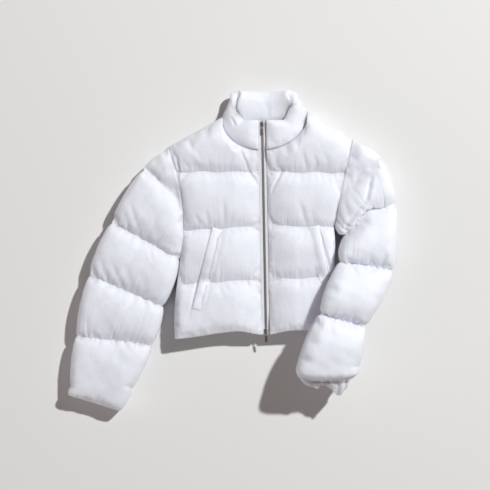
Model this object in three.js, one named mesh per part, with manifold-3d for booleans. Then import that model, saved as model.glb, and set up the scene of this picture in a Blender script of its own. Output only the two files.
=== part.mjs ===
// A cropped puffer jacket laid flat and zipped up, with one sleeve straight and the other folded over the front.
// Millimetres. X runs to the wearer's left, Y towards the collar and Z up from the surface that the jacket lies on.
// The origin is on the flat underside of the back, in the middle of the filled channel below the waist line.
import * as THREE from "three";
import { mergeVertices } from "three/addons/utils/BufferGeometryUtils.js";
import Module from "manifold-3d";

const wasm = await Module();
wasm.setup();

// Heights of the filled cloth
const MID = 38; // the plane where the fronts meet the back
const CREST = 38; // a filled channel above that plane
const STITCH = 16; // a quilt line above that plane
const EDGE = 2.5; // two layers sewn together at an edge
const FREE_CREST = 46; // a channel below the plane, before the surface flattens it
const LAYER_GAP = 0.5; // from that plane to each layer
const SEAM_GAP = 0.3; // each piece, back from a seam it shares
const SIDE_ROLL = 45; // reach of the rounding at a side seam
const ZIP_ROLL = 30; // reach of the rounding beside the zip
const ARM_ROLL = 30; // reach of the rounding at an armhole
const HEM_ROLL = 40;
const SHOULDER_ROLL = 40;
const HEM_LEVEL = 8;
const ZIP_LEVEL = 13;
const NECK_LEVEL = 13.5;
const NECK_LIFT = 10; // how far each layer parts from the plane at the neck

// Quilt lines of the body, from hem to shoulder: where each meets the side or armhole, and the zip.
// A bulge is how far the edge stands out of the straight line up to the next row.
const BODY_ROWS = [
  { line: "hem", leftX: -213.6, leftY: -208.8, leftBulge: 3.5, zipY: -198, rightX: 182, rightY: -186, rightBulge: 2 },
  { line: "lower", leftX: -208.8, leftY: -76.8, leftBulge: 0, zipY: -65, rightX: 166, rightY: -60, rightBulge: 4 },
  { line: "waist", leftX: -193.2, leftY: 50.4, leftBulge: -5, zipY: 64, rightX: 168, rightY: 60, rightBulge: 0 },
  { line: "chest", leftX: -208.8, leftY: 192, leftBulge: 0, zipY: 193, rightX: 194.4, rightY: 189.6, rightBulge: 0 },
  { line: "shoulder", leftX: -230.4, leftY: 252, leftBulge: 0, zipY: 245, rightX: 213.6, rightY: 271.2, rightBulge: 0 },
];
const UNDERARM_ROW = 2;
const YOKE_ROW = 3;
const TOP_ROW = 4;
const ROW_STEPS = 6; // per channel
const HEM_ARCH = { leftRise: 11, rightRise: 6, peak: 0.72 };

// The neck seam is seen from above as a drooping ellipse, deeper in front than behind
const NECK = { x: 2.4, halfWidth: 103, sideY: 330.6, tilt: 0.064, frontDepth: 86, backDepth: 26, power: 0.9 };
const NECK_STEPS = 8; // columns over the neck opening in each front
const NECK_BACK_STEPS = 12;
const FRONT_NECK_SHARE = 0.58; // share of a front's width that lies outside the neck
const BACK_NECK_SHARE = 0.3;

// Zip line and its parts
const ZIP = { topX: -4.8, topY: 316.8, bottomX: 4.8, bottomY: -198 };
const ZIP_OPENING = 9.3; // half the space between the fronts
const TAPE = { inner: 3.1, outer: 9, thick: 1.2 };
const CHAIN = { half: 2.8, thick: 2.6, topY: 312, bottomY: -196.5 };
const ZIP_HEIGHTS = [
  { y: -198, z: 43 },
  { y: -182, z: 43 },
  { y: -140, z: 48 },
  { y: 215, z: 48 },
  { y: 262, z: 57 },
  { y: 316.8, z: 57 },
];
const ZIP_SLOPE_STEPS = 6; // where the zip line climbs

// Collar wall
const COLLAR = {
  baseSpread: 18, // half the distance between the middles of its front and back walls
  rimSpread: 20,
  baseHalf: 6.7, // half thickness at the neck seam
  wallHalf: 10.5,
  zipPinch: 0.55,
  rimX: 3.5,
  rimHalfWidth: 63.5,
  rimFrontY: 316.8,
  rimBackY: 389,
  riseFrom: 48, // degrees from the zip where the rim starts to climb
  riseTo: 98,
  baseRoll: 22,
  rimRoll: 13,
  lift: 12, // how far the rim stands up at the sides
  liftFrom: 0.2, // share of the wall up to which nothing is lifted
};
const COLLAR_STATIONS = [0, 0.1, 0.3, 0.55, 0.78, 0.93];

// Sleeve sections from armhole to cuff. outer is the shoulder side and inner the underarm side;
// half is the filled half thickness and stitched marks a quilt line.
const LEFT_SLEEVE = {
  side: "left",
  rests: true,
  capLine: { outerX: -288, outerY: 204, innerX: -196.8, innerY: 120 },
  rows: [
    { at: "armhole", outerX: -230.4, outerY: 252, outerZ: 38, innerX: -193.2, innerY: 50.4, innerZ: 38, half: 38, stitched: true },
    { at: "cap", outerX: -288, outerY: 204, outerZ: 38, innerX: -198.4, innerY: 28.8, innerZ: 38, half: 38, stitched: false },
    { at: "biceps", outerX: -364.8, outerY: 72, outerZ: 37, innerX: -204.5, innerY: -16.8, innerZ: 38, half: 38, stitched: true },
    { at: "elbow", outerX: -417.6, outerY: -55.2, outerZ: 36, innerX: -244.8, innerY: -129.6, innerZ: 37, half: 38, stitched: true },
    { at: "forearm", outerX: -448.8, outerY: -201.6, outerZ: 35, innerX: -271.2, innerY: -222, innerZ: 36, half: 37, stitched: true },
    { at: "wrist", outerX: -462, outerY: -321.6, outerZ: 34, innerX: -316.8, innerY: -326.4, innerZ: 35, half: 36, stitched: false },
    { at: "cuff", outerX: -465.6, outerY: -345.6, outerZ: 34, innerX: -348, innerY: -381.6, innerZ: 35, half: 34, stitched: true },
  ],
};
const RIGHT_SLEEVE = {
  side: "right",
  rests: false,
  capLine: { outerX: 280.8, outerY: 225.6, innerX: 187.2, innerY: 148.8 },
  rows: [
    { at: "armhole", outerX: 213.6, outerY: 271.2, outerZ: 38, innerX: 168, innerY: 60, innerZ: 38, half: 38, stitched: true },
    { at: "cap", outerX: 280.8, outerY: 228, outerZ: 39, innerX: 176, innerY: 51, innerZ: 40, half: 38, stitched: false },
    { at: "biceps", outerX: 312, outerY: 117.6, outerZ: 44, innerX: 194.4, innerY: 40.8, innerZ: 52, half: 42, stitched: true },
    { at: "elbow", outerX: 305, outerY: -42.4, outerZ: 64, innerX: 181.8, innerY: -23.5, innerZ: 84, half: 46, stitched: true },
    { at: "forearm", outerX: 234.5, outerY: -175.4, outerZ: 96, innerX: 132.5, innerY: -144.9, innerZ: 122, half: 48, stitched: true },
    { at: "wrist", outerX: 219.8, outerY: -267.4, outerZ: 92, innerX: 84.7, innerY: -267.4, innerZ: 118, half: 50, stitched: false },
    { at: "cuff", outerX: 212, outerY: -298, outerZ: 90, innerX: 86, innerY: -298, innerZ: 112, half: 46, stitched: false },
    { at: "mouth", outerX: 187.6, outerY: -324.7, outerZ: 88, innerX: 112.2, innerY: -317.7, innerZ: 104, half: 34, stitched: true },
  ],
};
const SLEEVE = { gap: 0.35, wall: 16, slit: 1.2, edgeBulge: 4, endLevel: 9, endRoll: 30, narrowCap: 110, rowSteps: 5 };

// Pocket welts: a strip from its top to its foot, lying on a front
const WELTS = [
  { name: "pocket_welt_left", front: "left", topX: -112, topY: 56, footX: -160, footY: -139, width: 27 },
  { name: "pocket_welt_right", front: "right", topX: 119, topY: 62, footX: 151, footY: -98, width: 25 },
];
const WELT = { thick: 2.4, lift: 0.3, across: 4, along: 20 };

// Zip slider and pull tab, in the slider's own frame: +Y towards the collar, Z up from the teeth
const SLIDER = { length: 12, topWidth: 9, footWidth: 6.6, thick: 2.2 };
const BRIDGE = { width: 2, post: 1.4, span: 4.4, roof: 1.2 };
const PULL = { length: 26, width: 6.6, thick: 1.6, bar: 1.6, railX: 2.5, windowLength: 6.4, corner: 1.6 };
const SLIDERS = [
  { name: "top", y: 306, bridgeY: 0, bridgeRise: 3, droop: 0 },
  { name: "bottom", y: -190, bridgeY: -2.5, bridgeRise: 4, droop: 14 },
];

const WHITE = 0xe9e8f0;
const TAPE_WHITE = 0xf1f0f2;
const METAL = 0x77736c;

// Small helpers
const lerp = (a, b, u) => a + (b - a) * u;
const clamp01 = (u) => Math.min(1, Math.max(0, u));
const radians = (degrees) => (degrees * Math.PI) / 180;
const ease = (low, high, v) => {
  const u = clamp01((v - low) / (high - low));
  return u * u * (3 - 2 * u);
};
const roll = (distance, reach) => Math.sqrt(1 - (1 - clamp01(distance / reach)) ** 2);
const loft = (u) => Math.sin(Math.PI * clamp01(u)) ** 0.6;
const between = (p, q, u) => ({ x: lerp(p.x, q.x, u), y: lerp(p.y, q.y, u) });
const apart = (p, q) => Math.hypot(p.x - q.x, p.y - q.y);
const cosineStep = (k, steps) => (1 - Math.cos((Math.PI * k) / steps)) / 2;

// Value of a table column at a place between its rows
function column(rows, key, t) {
  const k = Math.min(rows.length - 2, Math.max(0, Math.floor(t)));
  return lerp(rows[k][key], rows[k + 1][key], t - k);
}

const zipX = (y) => lerp(ZIP.topX, ZIP.bottomX, (ZIP.topY - y) / (ZIP.topY - ZIP.bottomY));
const zipTilt = Math.atan2(ZIP.bottomX - ZIP.topX, ZIP.topY - ZIP.bottomY);

function zipZ(y) {
  let k = 0;
  while (k < ZIP_HEIGHTS.length - 2 && y > ZIP_HEIGHTS[k + 1].y) k += 1;
  const low = ZIP_HEIGHTS[k];
  const high = ZIP_HEIGHTS[k + 1];
  return lerp(low.z, high.z, ease(low.y, high.y, y));
}

// Solids from rows of points
function toGeometry(points, triangles) {
  const geometry = new THREE.BufferGeometry();
  geometry.setAttribute("position", new THREE.Float32BufferAttribute(points.flatMap((p) => [p.x, p.y, p.z]), 3));
  geometry.setIndex(triangles.flat());
  return geometry;
}

function volumeOf(points, triangles) {
  let six = 0;
  for (const [a, b, c] of triangles) {
    const [p, q, r] = [points[a], points[b], points[c]];
    six += p.x * (q.y * r.z - q.z * r.y) + p.y * (q.z * r.x - q.x * r.z) + p.z * (q.x * r.y - q.y * r.x);
  }
  return six / 6;
}

function facingOut(points, triangles) {
  const turned = volumeOf(points, triangles) < 0;
  return toGeometry(points, turned ? triangles.map(([a, b, c]) => [a, c, b]) : triangles);
}

// A panel: an upper and a lower grid of points with the same rows and columns, joined round their border
function panelSolid(upper, lower) {
  const rows = upper.length;
  const cols = upper[0].length;
  const points = [...upper.flat(), ...lower.flat()];
  const at = (i, j, layer) => layer * rows * cols + i * cols + j;
  const triangles = [];
  for (let i = 0; i < rows - 1; i++)
    for (let j = 0; j < cols - 1; j++)
      for (const layer of [0, 1]) {
        const quad = [at(i, j, layer), at(i, j + 1, layer), at(i + 1, j + 1, layer), at(i + 1, j, layer)];
        if (layer) quad.reverse();
        triangles.push([quad[0], quad[1], quad[2]], [quad[0], quad[2], quad[3]]);
      }
  const border = [];
  for (let j = 0; j < cols - 1; j++) border.push([0, j]);
  for (let i = 0; i < rows - 1; i++) border.push([i, cols - 1]);
  for (let j = cols - 1; j > 0; j--) border.push([rows - 1, j]);
  for (let i = rows - 1; i > 0; i--) border.push([i, 0]);
  border.forEach(([i, j], n) => {
    const [k, l] = border[(n + 1) % border.length];
    triangles.push([at(k, l, 0), at(i, j, 0), at(i, j, 1)], [at(k, l, 0), at(i, j, 1), at(k, l, 1)]);
  });
  return facingOut(points, triangles);
}

// The faces of a skin through closed loops of points, numbered from offset
function skin(loops, triangles, offset) {
  const count = loops[0].length;
  for (let i = 0; i < loops.length - 1; i++)
    for (let j = 0; j < count; j++) {
      const k = (j + 1) % count;
      const a = offset + i * count;
      const b = a + count;
      triangles.push([a + j, a + k, b + k], [a + j, b + k, b + j]);
    }
}

// A tube: an outer and an inner skin joined at both mouths
function tubeSolid(outer, inner) {
  const count = outer[0].length;
  const points = [...outer.flat(), ...inner.flat()];
  const innerStart = outer.length * count;
  const triangles = [];
  const inside = [];
  skin(outer, triangles, 0);
  skin(inner, inside, innerStart);
  for (const [a, b, c] of inside) triangles.push([a, c, b]);
  const last = (outer.length - 1) * count;
  for (let j = 0; j < count; j++) {
    const k = (j + 1) % count;
    triangles.push([k, j, innerStart + j], [k, innerStart + j, innerStart + k]);
    const far = innerStart + last;
    triangles.push([last + j, last + k, far + k], [last + j, far + k, far + j]);
  }
  return facingOut(points, triangles);
}

// A bar swept through closed profiles that pair up across their middle, capped at both ends
function sweptSolid(loops) {
  const count = loops[0].length;
  const points = loops.flat();
  const triangles = [];
  skin(loops, triangles, 0);
  for (const [start, turned] of [
    [0, true],
    [(loops.length - 1) * count, false],
  ])
    for (let j = 0; j < (count - 1) / 2; j++) {
      const [a, b, c, d] = [j, j + 1, count - 2 - j, count - 1 - j].map((n) => start + n);
      const faces = b === c ? [[a, b, d]] : [[a, b, c], [a, c, d]];
      for (const [p, q, r] of faces) triangles.push(turned ? [p, r, q] : [p, q, r]);
    }
  return facingOut(points, triangles);
}

// Body outline, seen from above
function sidePoint(side, t) {
  const k = Math.min(TOP_ROW - 1, Math.floor(t));
  const u = t - k;
  const outward = side === "left" ? -1 : 1;
  const bulge = BODY_ROWS[k][`${side}Bulge`] * 4 * u * (1 - u) * outward;
  return { x: column(BODY_ROWS, `${side}X`, t) + bulge, y: column(BODY_ROWS, `${side}Y`, t) };
}

// Angle is measured round the neck from the front of the zip: 90 is the wearer's right, 180 the back
function neckPoint(angle) {
  const x = NECK.x - NECK.halfWidth * Math.sin(angle);
  const depth = Math.cos(angle) > 0 ? NECK.frontDepth : NECK.backDepth;
  return { x, y: NECK.sideY + NECK.tilt * x - depth * Math.abs(Math.cos(angle)) ** NECK.power };
}

// Angle where the neck seam meets a front's zip edge
function zipAngle(side) {
  const outward = side === "left" ? -1 : 1;
  const edge = zipX(BODY_ROWS[TOP_ROW].zipY) + outward * ZIP_OPENING;
  return Math.asin(((NECK.x - edge) * -outward) / NECK.halfWidth) * -outward;
}

const neckAngle = (side, share) => lerp(side === "left" ? Math.PI / 2 : -Math.PI / 2, zipAngle(side), share);
const setBack = (p, gap) => ({ x: p.x, y: p.y - gap });

// Top border of a front: the shoulder seam, then the neck seam as far as the zip
function frontTopPoint(side, s) {
  const neckSide = neckPoint(neckAngle(side, 0));
  if (s <= FRONT_NECK_SHARE) return setBack(between(sidePoint(side, TOP_ROW), neckSide, s / FRONT_NECK_SHARE), 0);
  const share = (s - FRONT_NECK_SHARE) / (1 - FRONT_NECK_SHARE);
  const p = setBack(neckPoint(neckAngle(side, share)), SEAM_GAP);
  const outward = side === "left" ? -1 : 1;
  return share === 1 ? { x: zipX(p.y) + outward * ZIP_OPENING, y: p.y } : p;
}

function frontPoint(side, t, s) {
  const outward = side === "left" ? -1 : 1;
  if (t > YOKE_ROW) {
    const low = frontPoint(side, YOKE_ROW, s);
    const p = between(low, frontTopPoint(side, s), t - YOKE_ROW);
    return s === 0 ? sidePoint(side, t) : p;
  }
  const y = column(BODY_ROWS, "zipY", t);
  const p = between(sidePoint(side, t), { x: zipX(y) + outward * ZIP_OPENING, y }, s);
  const fall = (1 - clamp01(t)) ** 2;
  const hump = s < HEM_ARCH.peak ? ease(0, HEM_ARCH.peak, s) : ease(1, HEM_ARCH.peak, s);
  return { x: p.x, y: p.y + HEM_ARCH[`${side}Rise`] * hump * fall };
}

function backPoint(t, s) {
  const low = between(sidePoint("left", Math.min(t, YOKE_ROW)), sidePoint("right", Math.min(t, YOKE_ROW)), s);
  if (t <= YOKE_ROW) return low;
  if (s === 0) return sidePoint("left", t);
  if (s === 1) return sidePoint("right", t);
  return between(low, backTopPoint(s), t - YOKE_ROW);
}

function backTopPoint(s) {
  const far = 1 - BACK_NECK_SHARE;
  if (s < BACK_NECK_SHARE)
    return between(sidePoint("left", TOP_ROW), neckPoint(Math.PI / 2), s / BACK_NECK_SHARE);
  if (s > far) return between(neckPoint(-Math.PI / 2), sidePoint("right", TOP_ROW), (s - far) / BACK_NECK_SHARE);
  const turn = (s - BACK_NECK_SHARE) / (far - BACK_NECK_SHARE);
  return setBack(neckPoint(Math.PI * (0.5 + turn)), SEAM_GAP);
}

// Filled height of the body at row t, before its edges bring it down
function channelHeight(t, crest) {
  const k = Math.min(TOP_ROW - 1, Math.floor(t));
  let u = t - k;
  if (k === 0) u = Math.max(u, 0.5);
  if (k === YOKE_ROW) u = Math.min(u, 0.5);
  return lerp(STITCH, crest, loft(u));
}

// Half thickness where a sleeve joins the body, from the underarm, 0, to the shoulder, 1
const armholeLevel = (v) => lerp(EDGE, STITCH, Math.sqrt(1 - Math.abs(2 * v - 1) ** 3));

function sideLevel(t) {
  if (t <= UNDERARM_ROW) return EDGE;
  return armholeLevel((t - UNDERARM_ROW) / (TOP_ROW - UNDERARM_ROW));
}

// How near a place is to the neck opening, from 0 to 1
const neckNearness = (t, intoNeck) => ease(YOKE_ROW + 0.3, TOP_ROW, t) * ease(-0.12, 0.1, intoNeck);

// Height of a layer over the plane, with its edges rolled down to their seams
function layerHeight(t, crest, toSide, toZip, toHem, toTop, intoNeck) {
  const sideRoll = t < UNDERARM_ROW ? SIDE_ROLL : ARM_ROLL;
  let h = lerp(sideLevel(t), channelHeight(t, crest), roll(toSide, sideRoll));
  h = lerp(ZIP_LEVEL, h, roll(toZip, ZIP_ROLL));
  h = lerp(Math.min(h, HEM_LEVEL), h, roll(toHem, HEM_ROLL));
  const topLevel = lerp(EDGE, NECK_LEVEL, ease(-0.04, 0.06, intoNeck));
  return lerp(Math.min(h, topLevel), h, roll(toTop, SHOULDER_ROLL));
}

function bodyRows() {
  const rows = [];
  for (let k = 0; k < TOP_ROW; k++) for (let n = 0; n < ROW_STEPS; n++) rows.push(k + cosineStep(n, ROW_STEPS));
  return [...rows, TOP_ROW];
}

function frontColumns() {
  const columns = [];
  const outerSteps = ROW_STEPS;
  for (let n = 0; n < outerSteps; n++) columns.push(FRONT_NECK_SHARE * (1 - Math.cos((Math.PI / 2) * (n / outerSteps))));
  for (let n = 0; n <= NECK_STEPS; n++) columns.push(lerp(FRONT_NECK_SHARE, 1, n / NECK_STEPS));
  return columns;
}

function backColumns() {
  const outer = [];
  for (let n = 0; n < ROW_STEPS; n++) outer.push(BACK_NECK_SHARE * (1 - Math.cos((Math.PI / 2) * (n / ROW_STEPS))));
  const middle = [];
  for (let n = 0; n <= NECK_BACK_STEPS; n++)
    middle.push(lerp(BACK_NECK_SHARE, 1 - BACK_NECK_SHARE, n / NECK_BACK_STEPS));
  return [...outer, ...middle, ...outer.map((s) => 1 - s).reverse()];
}

function frontSolid(side) {
  const upper = [];
  const lower = [];
  for (const t of bodyRows()) {
    const row = frontColumns().map((s) => {
      const p = frontPoint(side, t, s);
      const intoNeck = s - FRONT_NECK_SHARE;
      const lift = NECK_LIFT * neckNearness(t, intoNeck);
      const toSide = apart(p, sidePoint(side, t));
      const toZip = Math.abs(p.x - zipX(p.y)) - ZIP_OPENING;
      const toHem = apart(p, frontPoint(side, 0, s));
      const toTop = apart(p, frontTopPoint(side, s));
      const height = layerHeight(t, CREST, toSide, toZip, toHem, toTop, intoNeck);
      const base = MID + LAYER_GAP + lift;
      return [
        { ...p, z: base + height },
        { ...p, z: base },
      ];
    });
    upper.push(row.map((pair) => pair[0]));
    lower.push(row.map((pair) => pair[1]));
  }
  return panelSolid(upper, lower);
}

function backSolid() {
  const upper = [];
  const lower = [];
  for (const t of bodyRows()) {
    const row = backColumns().map((s) => {
      const p = backPoint(t, s);
      const intoNeck = Math.min(s - BACK_NECK_SHARE, 1 - BACK_NECK_SHARE - s);
      const lift = NECK_LIFT * neckNearness(t, intoNeck);
      const toSide = Math.min(apart(p, sidePoint("left", t)), apart(p, sidePoint("right", t)));
      const toHem = apart(p, backPoint(0, s));
      const toTop = apart(p, backTopPoint(s));
      const height = layerHeight(t, FREE_CREST, toSide, Infinity, toHem, toTop, intoNeck);
      const base = MID - LAYER_GAP - lift;
      return [
        { ...p, z: base },
        { ...p, z: Math.max(0, base - height) },
      ];
    });
    upper.push(row.map((pair) => pair[0]));
    lower.push(row.map((pair) => pair[1]));
  }
  return panelSolid(upper, lower);
}

// Sleeves
const armholePoint = (side, s) => sidePoint(side, lerp(TOP_ROW, UNDERARM_ROW, s));

function sleevePlan(sleeve, t, s) {
  const { rows } = sleeve;
  const k = Math.min(rows.length - 2, Math.floor(t));
  const u = t - k;
  const outer = { x: column(rows, "outerX", t), y: column(rows, "outerY", t) };
  const inner = { x: column(rows, "innerX", t), y: column(rows, "innerY", t) };
  const width = apart(outer, inner);
  const bulge = (SLEEVE.edgeBulge * 4 * u * (1 - u) * (2 * s - 1)) / width;
  const p = between(outer, inner, s + (t < 1 ? 0 : bulge));
  p.x += sleeve.side === "left" ? -SLEEVE.gap : SLEEVE.gap;
  if (t >= 1) return p;
  const seam = armholePoint(sleeve.side, s);
  const shift = between(armholePoint(sleeve.side, 0), armholePoint(sleeve.side, 1), s);
  const fade = (1 - t) ** 1.5;
  return { x: p.x + (seam.x - shift.x) * fade, y: p.y + (seam.y - shift.y) * fade };
}

function distanceToLine(p, a, b) {
  return ((b.x - a.x) * (p.y - a.y) - (b.y - a.y) * (p.x - a.x)) / apart(a, b);
}

// Filled half thickness of a sleeve at row t, before its edges bring it in
function sleeveHeight(sleeve, t, p, crest) {
  const { rows, capLine } = sleeve;
  const firstRing = rows.findIndex((row, n) => n > 0 && row.stitched);
  if (t >= firstRing) {
    let k = Math.min(rows.length - 2, Math.floor(t));
    while (!rows[k].stitched) k -= 1;
    let end = k + 1;
    while (!rows[end].stitched) end += 1;
    const u = (t - k) / (end - k);
    return lerp(STITCH, crest, loft(end === rows.length - 1 ? Math.min(u, 0.5) : u));
  }
  const turn = sleeve.side === "left" ? 1 : -1;
  const ring = rows[firstRing];
  const a = { x: capLine.outerX, y: capLine.outerY };
  const b = { x: capLine.innerX, y: capLine.innerY };
  const toCap = -turn * distanceToLine(p, a, b);
  const toRing =
    turn * distanceToLine(p, { x: ring.outerX, y: ring.outerY }, { x: ring.innerX, y: ring.innerY });
  const toArmhole = Math.abs(
    distanceToLine(p, { x: rows[0].outerX, y: rows[0].outerY }, { x: rows[0].innerX, y: rows[0].innerY }),
  );
  const inCap = toCap < 0;
  const span = inCap ? toArmhole - toCap : toCap + Math.max(0, toRing);
  const u = inCap ? toArmhole / span : toCap / span;
  const narrow = Math.min(1, span / SLEEVE.narrowCap) ** 0.7;
  const filled = lerp(STITCH, crest, loft(u) * narrow);
  return lerp(STITCH, filled, roll(toArmhole, ARM_ROLL));
}

function sleeveSolid(sleeve) {
  const { rows } = sleeve;
  const lastRow = rows.length - 1;
  const places = [];
  for (let k = 0; k < lastRow; k++)
    for (let n = 0; n < SLEEVE.rowSteps; n++) places.push(k + cosineStep(n, SLEEVE.rowSteps));
  places.push(lastRow);
  const armholeStations = bodyRows()
    .filter((row) => row >= UNDERARM_ROW)
    .map((row) => (TOP_ROW - row) / (TOP_ROW - UNDERARM_ROW))
    .reverse();
  const outerLoops = [];
  const innerLoops = [];
  for (const t of places) {
    const crest = column(rows, "half", t);
    const outerEdge = sleevePlan(sleeve, t, 0);
    const innerEdge = sleevePlan(sleeve, t, 1);
    const width = apart(outerEdge, innerEdge);
    const middle = between(outerEdge, innerEdge, 0.5);
    const toEnd = apart(middle, sleevePlan(sleeve, lastRow, 0.5));
    const half = (s, limit) => {
      const p = sleevePlan(sleeve, t, s);
      const toEdge = Math.min(s, 1 - s) * width;
      let h = sleeveHeight(sleeve, t, p, limit);
      h = lerp(Math.min(h, SLEEVE.endLevel), h, roll(toEnd, SLEEVE.endRoll));
      h = lerp(EDGE, h, roll(toEdge, Math.min(width / 2, SIDE_ROLL + crest - MID)));
      return t < 1 ? lerp(armholeLevel(1 - s), h, ease(0, 0.35, t)) : h;
    };
    const centre = (s) => lerp(column(rows, "outerZ", t), column(rows, "innerZ", t), s);
    const under = (s) => centre(s) - half(s, sleeve.rests ? FREE_CREST : crest);
    const over = (s) => centre(s) + half(s, crest);
    const inset = SLEEVE.wall / width;
    const lining = (s) => lerp(inset, 1 - inset, s);
    const outward = armholeStations.map((s, n) => lerp(s, cosineStep(n, armholeStations.length - 1), ease(0, 1, t)));
    const homeward = [...outward].reverse();
    outerLoops.push([
      ...outward.map((s) => ({ ...sleevePlan(sleeve, t, s), z: over(s) })),
      ...homeward.map((s) => ({ ...sleevePlan(sleeve, t, s), z: Math.max(0, under(s)) })),
    ]);
    innerLoops.push([
      ...outward.map((s) => ({ ...sleevePlan(sleeve, t, lining(s)), z: centre(lining(s)) + SLEEVE.slit })),
      ...homeward.map((s) => ({ ...sleevePlan(sleeve, t, lining(s)), z: centre(lining(s)) - SLEEVE.slit })),
    ]);
  }
  return tubeSolid(outerLoops, innerLoops);
}

// Collar: a padded wall swept round the neck from one side of the zip to the other
function collarAngles() {
  const left = [];
  const right = [];
  for (let n = NECK_STEPS; n >= 0; n--) left.push(neckAngle("left", n / NECK_STEPS));
  for (let n = 1; n < NECK_BACK_STEPS; n++) left.push(Math.PI * (0.5 + n / NECK_BACK_STEPS));
  for (let n = 0; n <= NECK_STEPS; n++) right.push(neckAngle("right", n / NECK_STEPS));
  return [...left, ...right];
}

function collarProfile(angle) {
  const front = Math.cos(angle) > 0;
  const side = Math.sin(angle) > 0 ? "left" : "right";
  const outward = side === "left" ? -1 : 1;
  const across = Math.abs(Math.sin(angle));
  const start = Math.abs(Math.sin(zipAngle(side)));
  const share = front ? clamp01((across - start) / (1 - start)) : across;
  const normal = new THREE.Vector2(-Math.sin(angle) * COLLAR.baseSpread, Math.cos(angle) * NECK.halfWidth).normalize();
  const seam = neckPoint(angle);
  const fromFront = front ? Math.asin(across) : Math.PI - Math.asin(across);
  const climb = ease(radians(COLLAR.riseFrom), radians(COLLAR.riseTo), fromFront);
  const rimY = lerp(COLLAR.rimFrontY, COLLAR.rimBackY, climb);
  const baseX = seam.x + normal.x * -COLLAR.baseHalf;
  const rimSideX = COLLAR.rimX + outward * COLLAR.rimHalfWidth;
  const rimStartX = front ? zipX(rimY) + outward * ZIP_OPENING : COLLAR.rimX;
  const base = { x: share === 0 ? zipX(seam.y) + outward * ZIP_OPENING : baseX, y: seam.y + SEAM_GAP };
  const rim = { x: lerp(rimStartX, rimSideX, share), y: rimY };
  const tall = apart(base, rim);
  const toZip = front ? (across - start) * NECK.halfWidth : Infinity;
  const pinch = lerp(COLLAR.zipPinch, 1, roll(toZip, ZIP_ROLL));
  const wall = (v, outside) => {
    const rise = roll(v * tall, COLLAR.baseRoll);
    const half = lerp(COLLAR.baseHalf, COLLAR.wallHalf * pinch, rise) * roll((1 - v) * tall, COLLAR.rimRoll);
    const p = between(base, rim, v);
    const lift = COLLAR.lift * ease(COLLAR.liftFrom, 1, v) * across * across;
    const z = MID + lerp(COLLAR.baseSpread, COLLAR.rimSpread, v) * Math.cos(angle) + lift;
    const reach = outside > 0 && share > 0 ? neckReach(p.x, p.y, front) : Infinity;
    const x = p.x + normal.x * half * outside;
    const kept = NECK.x + Math.max(-reach, Math.min(reach, x - NECK.x));
    return { x: kept, y: p.y, z: Math.max(0, z + normal.y * half * outside) };
  };
  const up = COLLAR_STATIONS.map((v) => wall(v, 1));
  const down = [...COLLAR_STATIONS].reverse().map((v) => wall(v, -1));
  return [...up, wall(1, 1), ...down];
}

// The collar's outer face stays inside the neck seam below the shoulders, and bulges past it above them
function neckReach(x, y, front) {
  const below = NECK.sideY + NECK.tilt * x - y;
  if (below <= 0) return NECK.halfWidth - 1 + (COLLAR.wallHalf - COLLAR.baseHalf) * roll(-below, COLLAR.baseRoll);
  const depth = front ? NECK.frontDepth : NECK.backDepth;
  return NECK.halfWidth * Math.sqrt(1 - clamp01(below / depth) ** (2 / NECK.power)) - 1;
}

const collarSolid = () => sweptSolid(collarAngles().map(collarProfile));

// Zip tapes and teeth: flat strips along the zip line
function zipStrip(from, to, thick, topY, bottomY) {
  const upper = [];
  const lower = [];
  const places = [bottomY];
  for (let k = 1; k < ZIP_HEIGHTS.length; k++) {
    const [low, high] = [ZIP_HEIGHTS[k - 1], ZIP_HEIGHTS[k]];
    const steps = low.z === high.z ? 1 : ZIP_SLOPE_STEPS;
    for (let n = 1; n <= steps; n++) places.push(Math.min(topY, lerp(low.y, high.y, n / steps)));
  }
  for (const y of places) {
    const z = zipZ(y);
    const row = [from, to].map((x) => ({ x: zipX(y) + x, y }));
    upper.push(row.map((p) => ({ ...p, z: z + thick / 2 })));
    lower.push(row.map((p) => ({ ...p, z: z - thick / 2 })));
  }
  return panelSolid(upper, lower);
}

// Solids that are joined and cut
function toManifold(geometry) {
  const bare = new THREE.BufferGeometry();
  const source = geometry.index ? geometry.toNonIndexed() : geometry;
  bare.setAttribute("position", source.getAttribute("position"));
  const merged = mergeVertices(bare, 1e-4);
  return new wasm.Manifold(
    new wasm.Mesh({
      numProp: 3,
      vertProperties: new Float32Array(merged.attributes.position.array),
      triVerts: new Uint32Array(merged.index.array),
    }),
  );
}

function fromManifold(solid) {
  const mesh = solid.getMesh();
  const geometry = new THREE.BufferGeometry();
  geometry.setAttribute("position", new THREE.BufferAttribute(new Float32Array(mesh.vertProperties), 3));
  geometry.setIndex(new THREE.BufferAttribute(new Uint32Array(mesh.triVerts), 1));
  return geometry;
}

const block = (wide, long, high, x, y, z) =>
  toManifold(new THREE.BoxGeometry(wide, long, high).translate(x, y, z));

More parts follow.
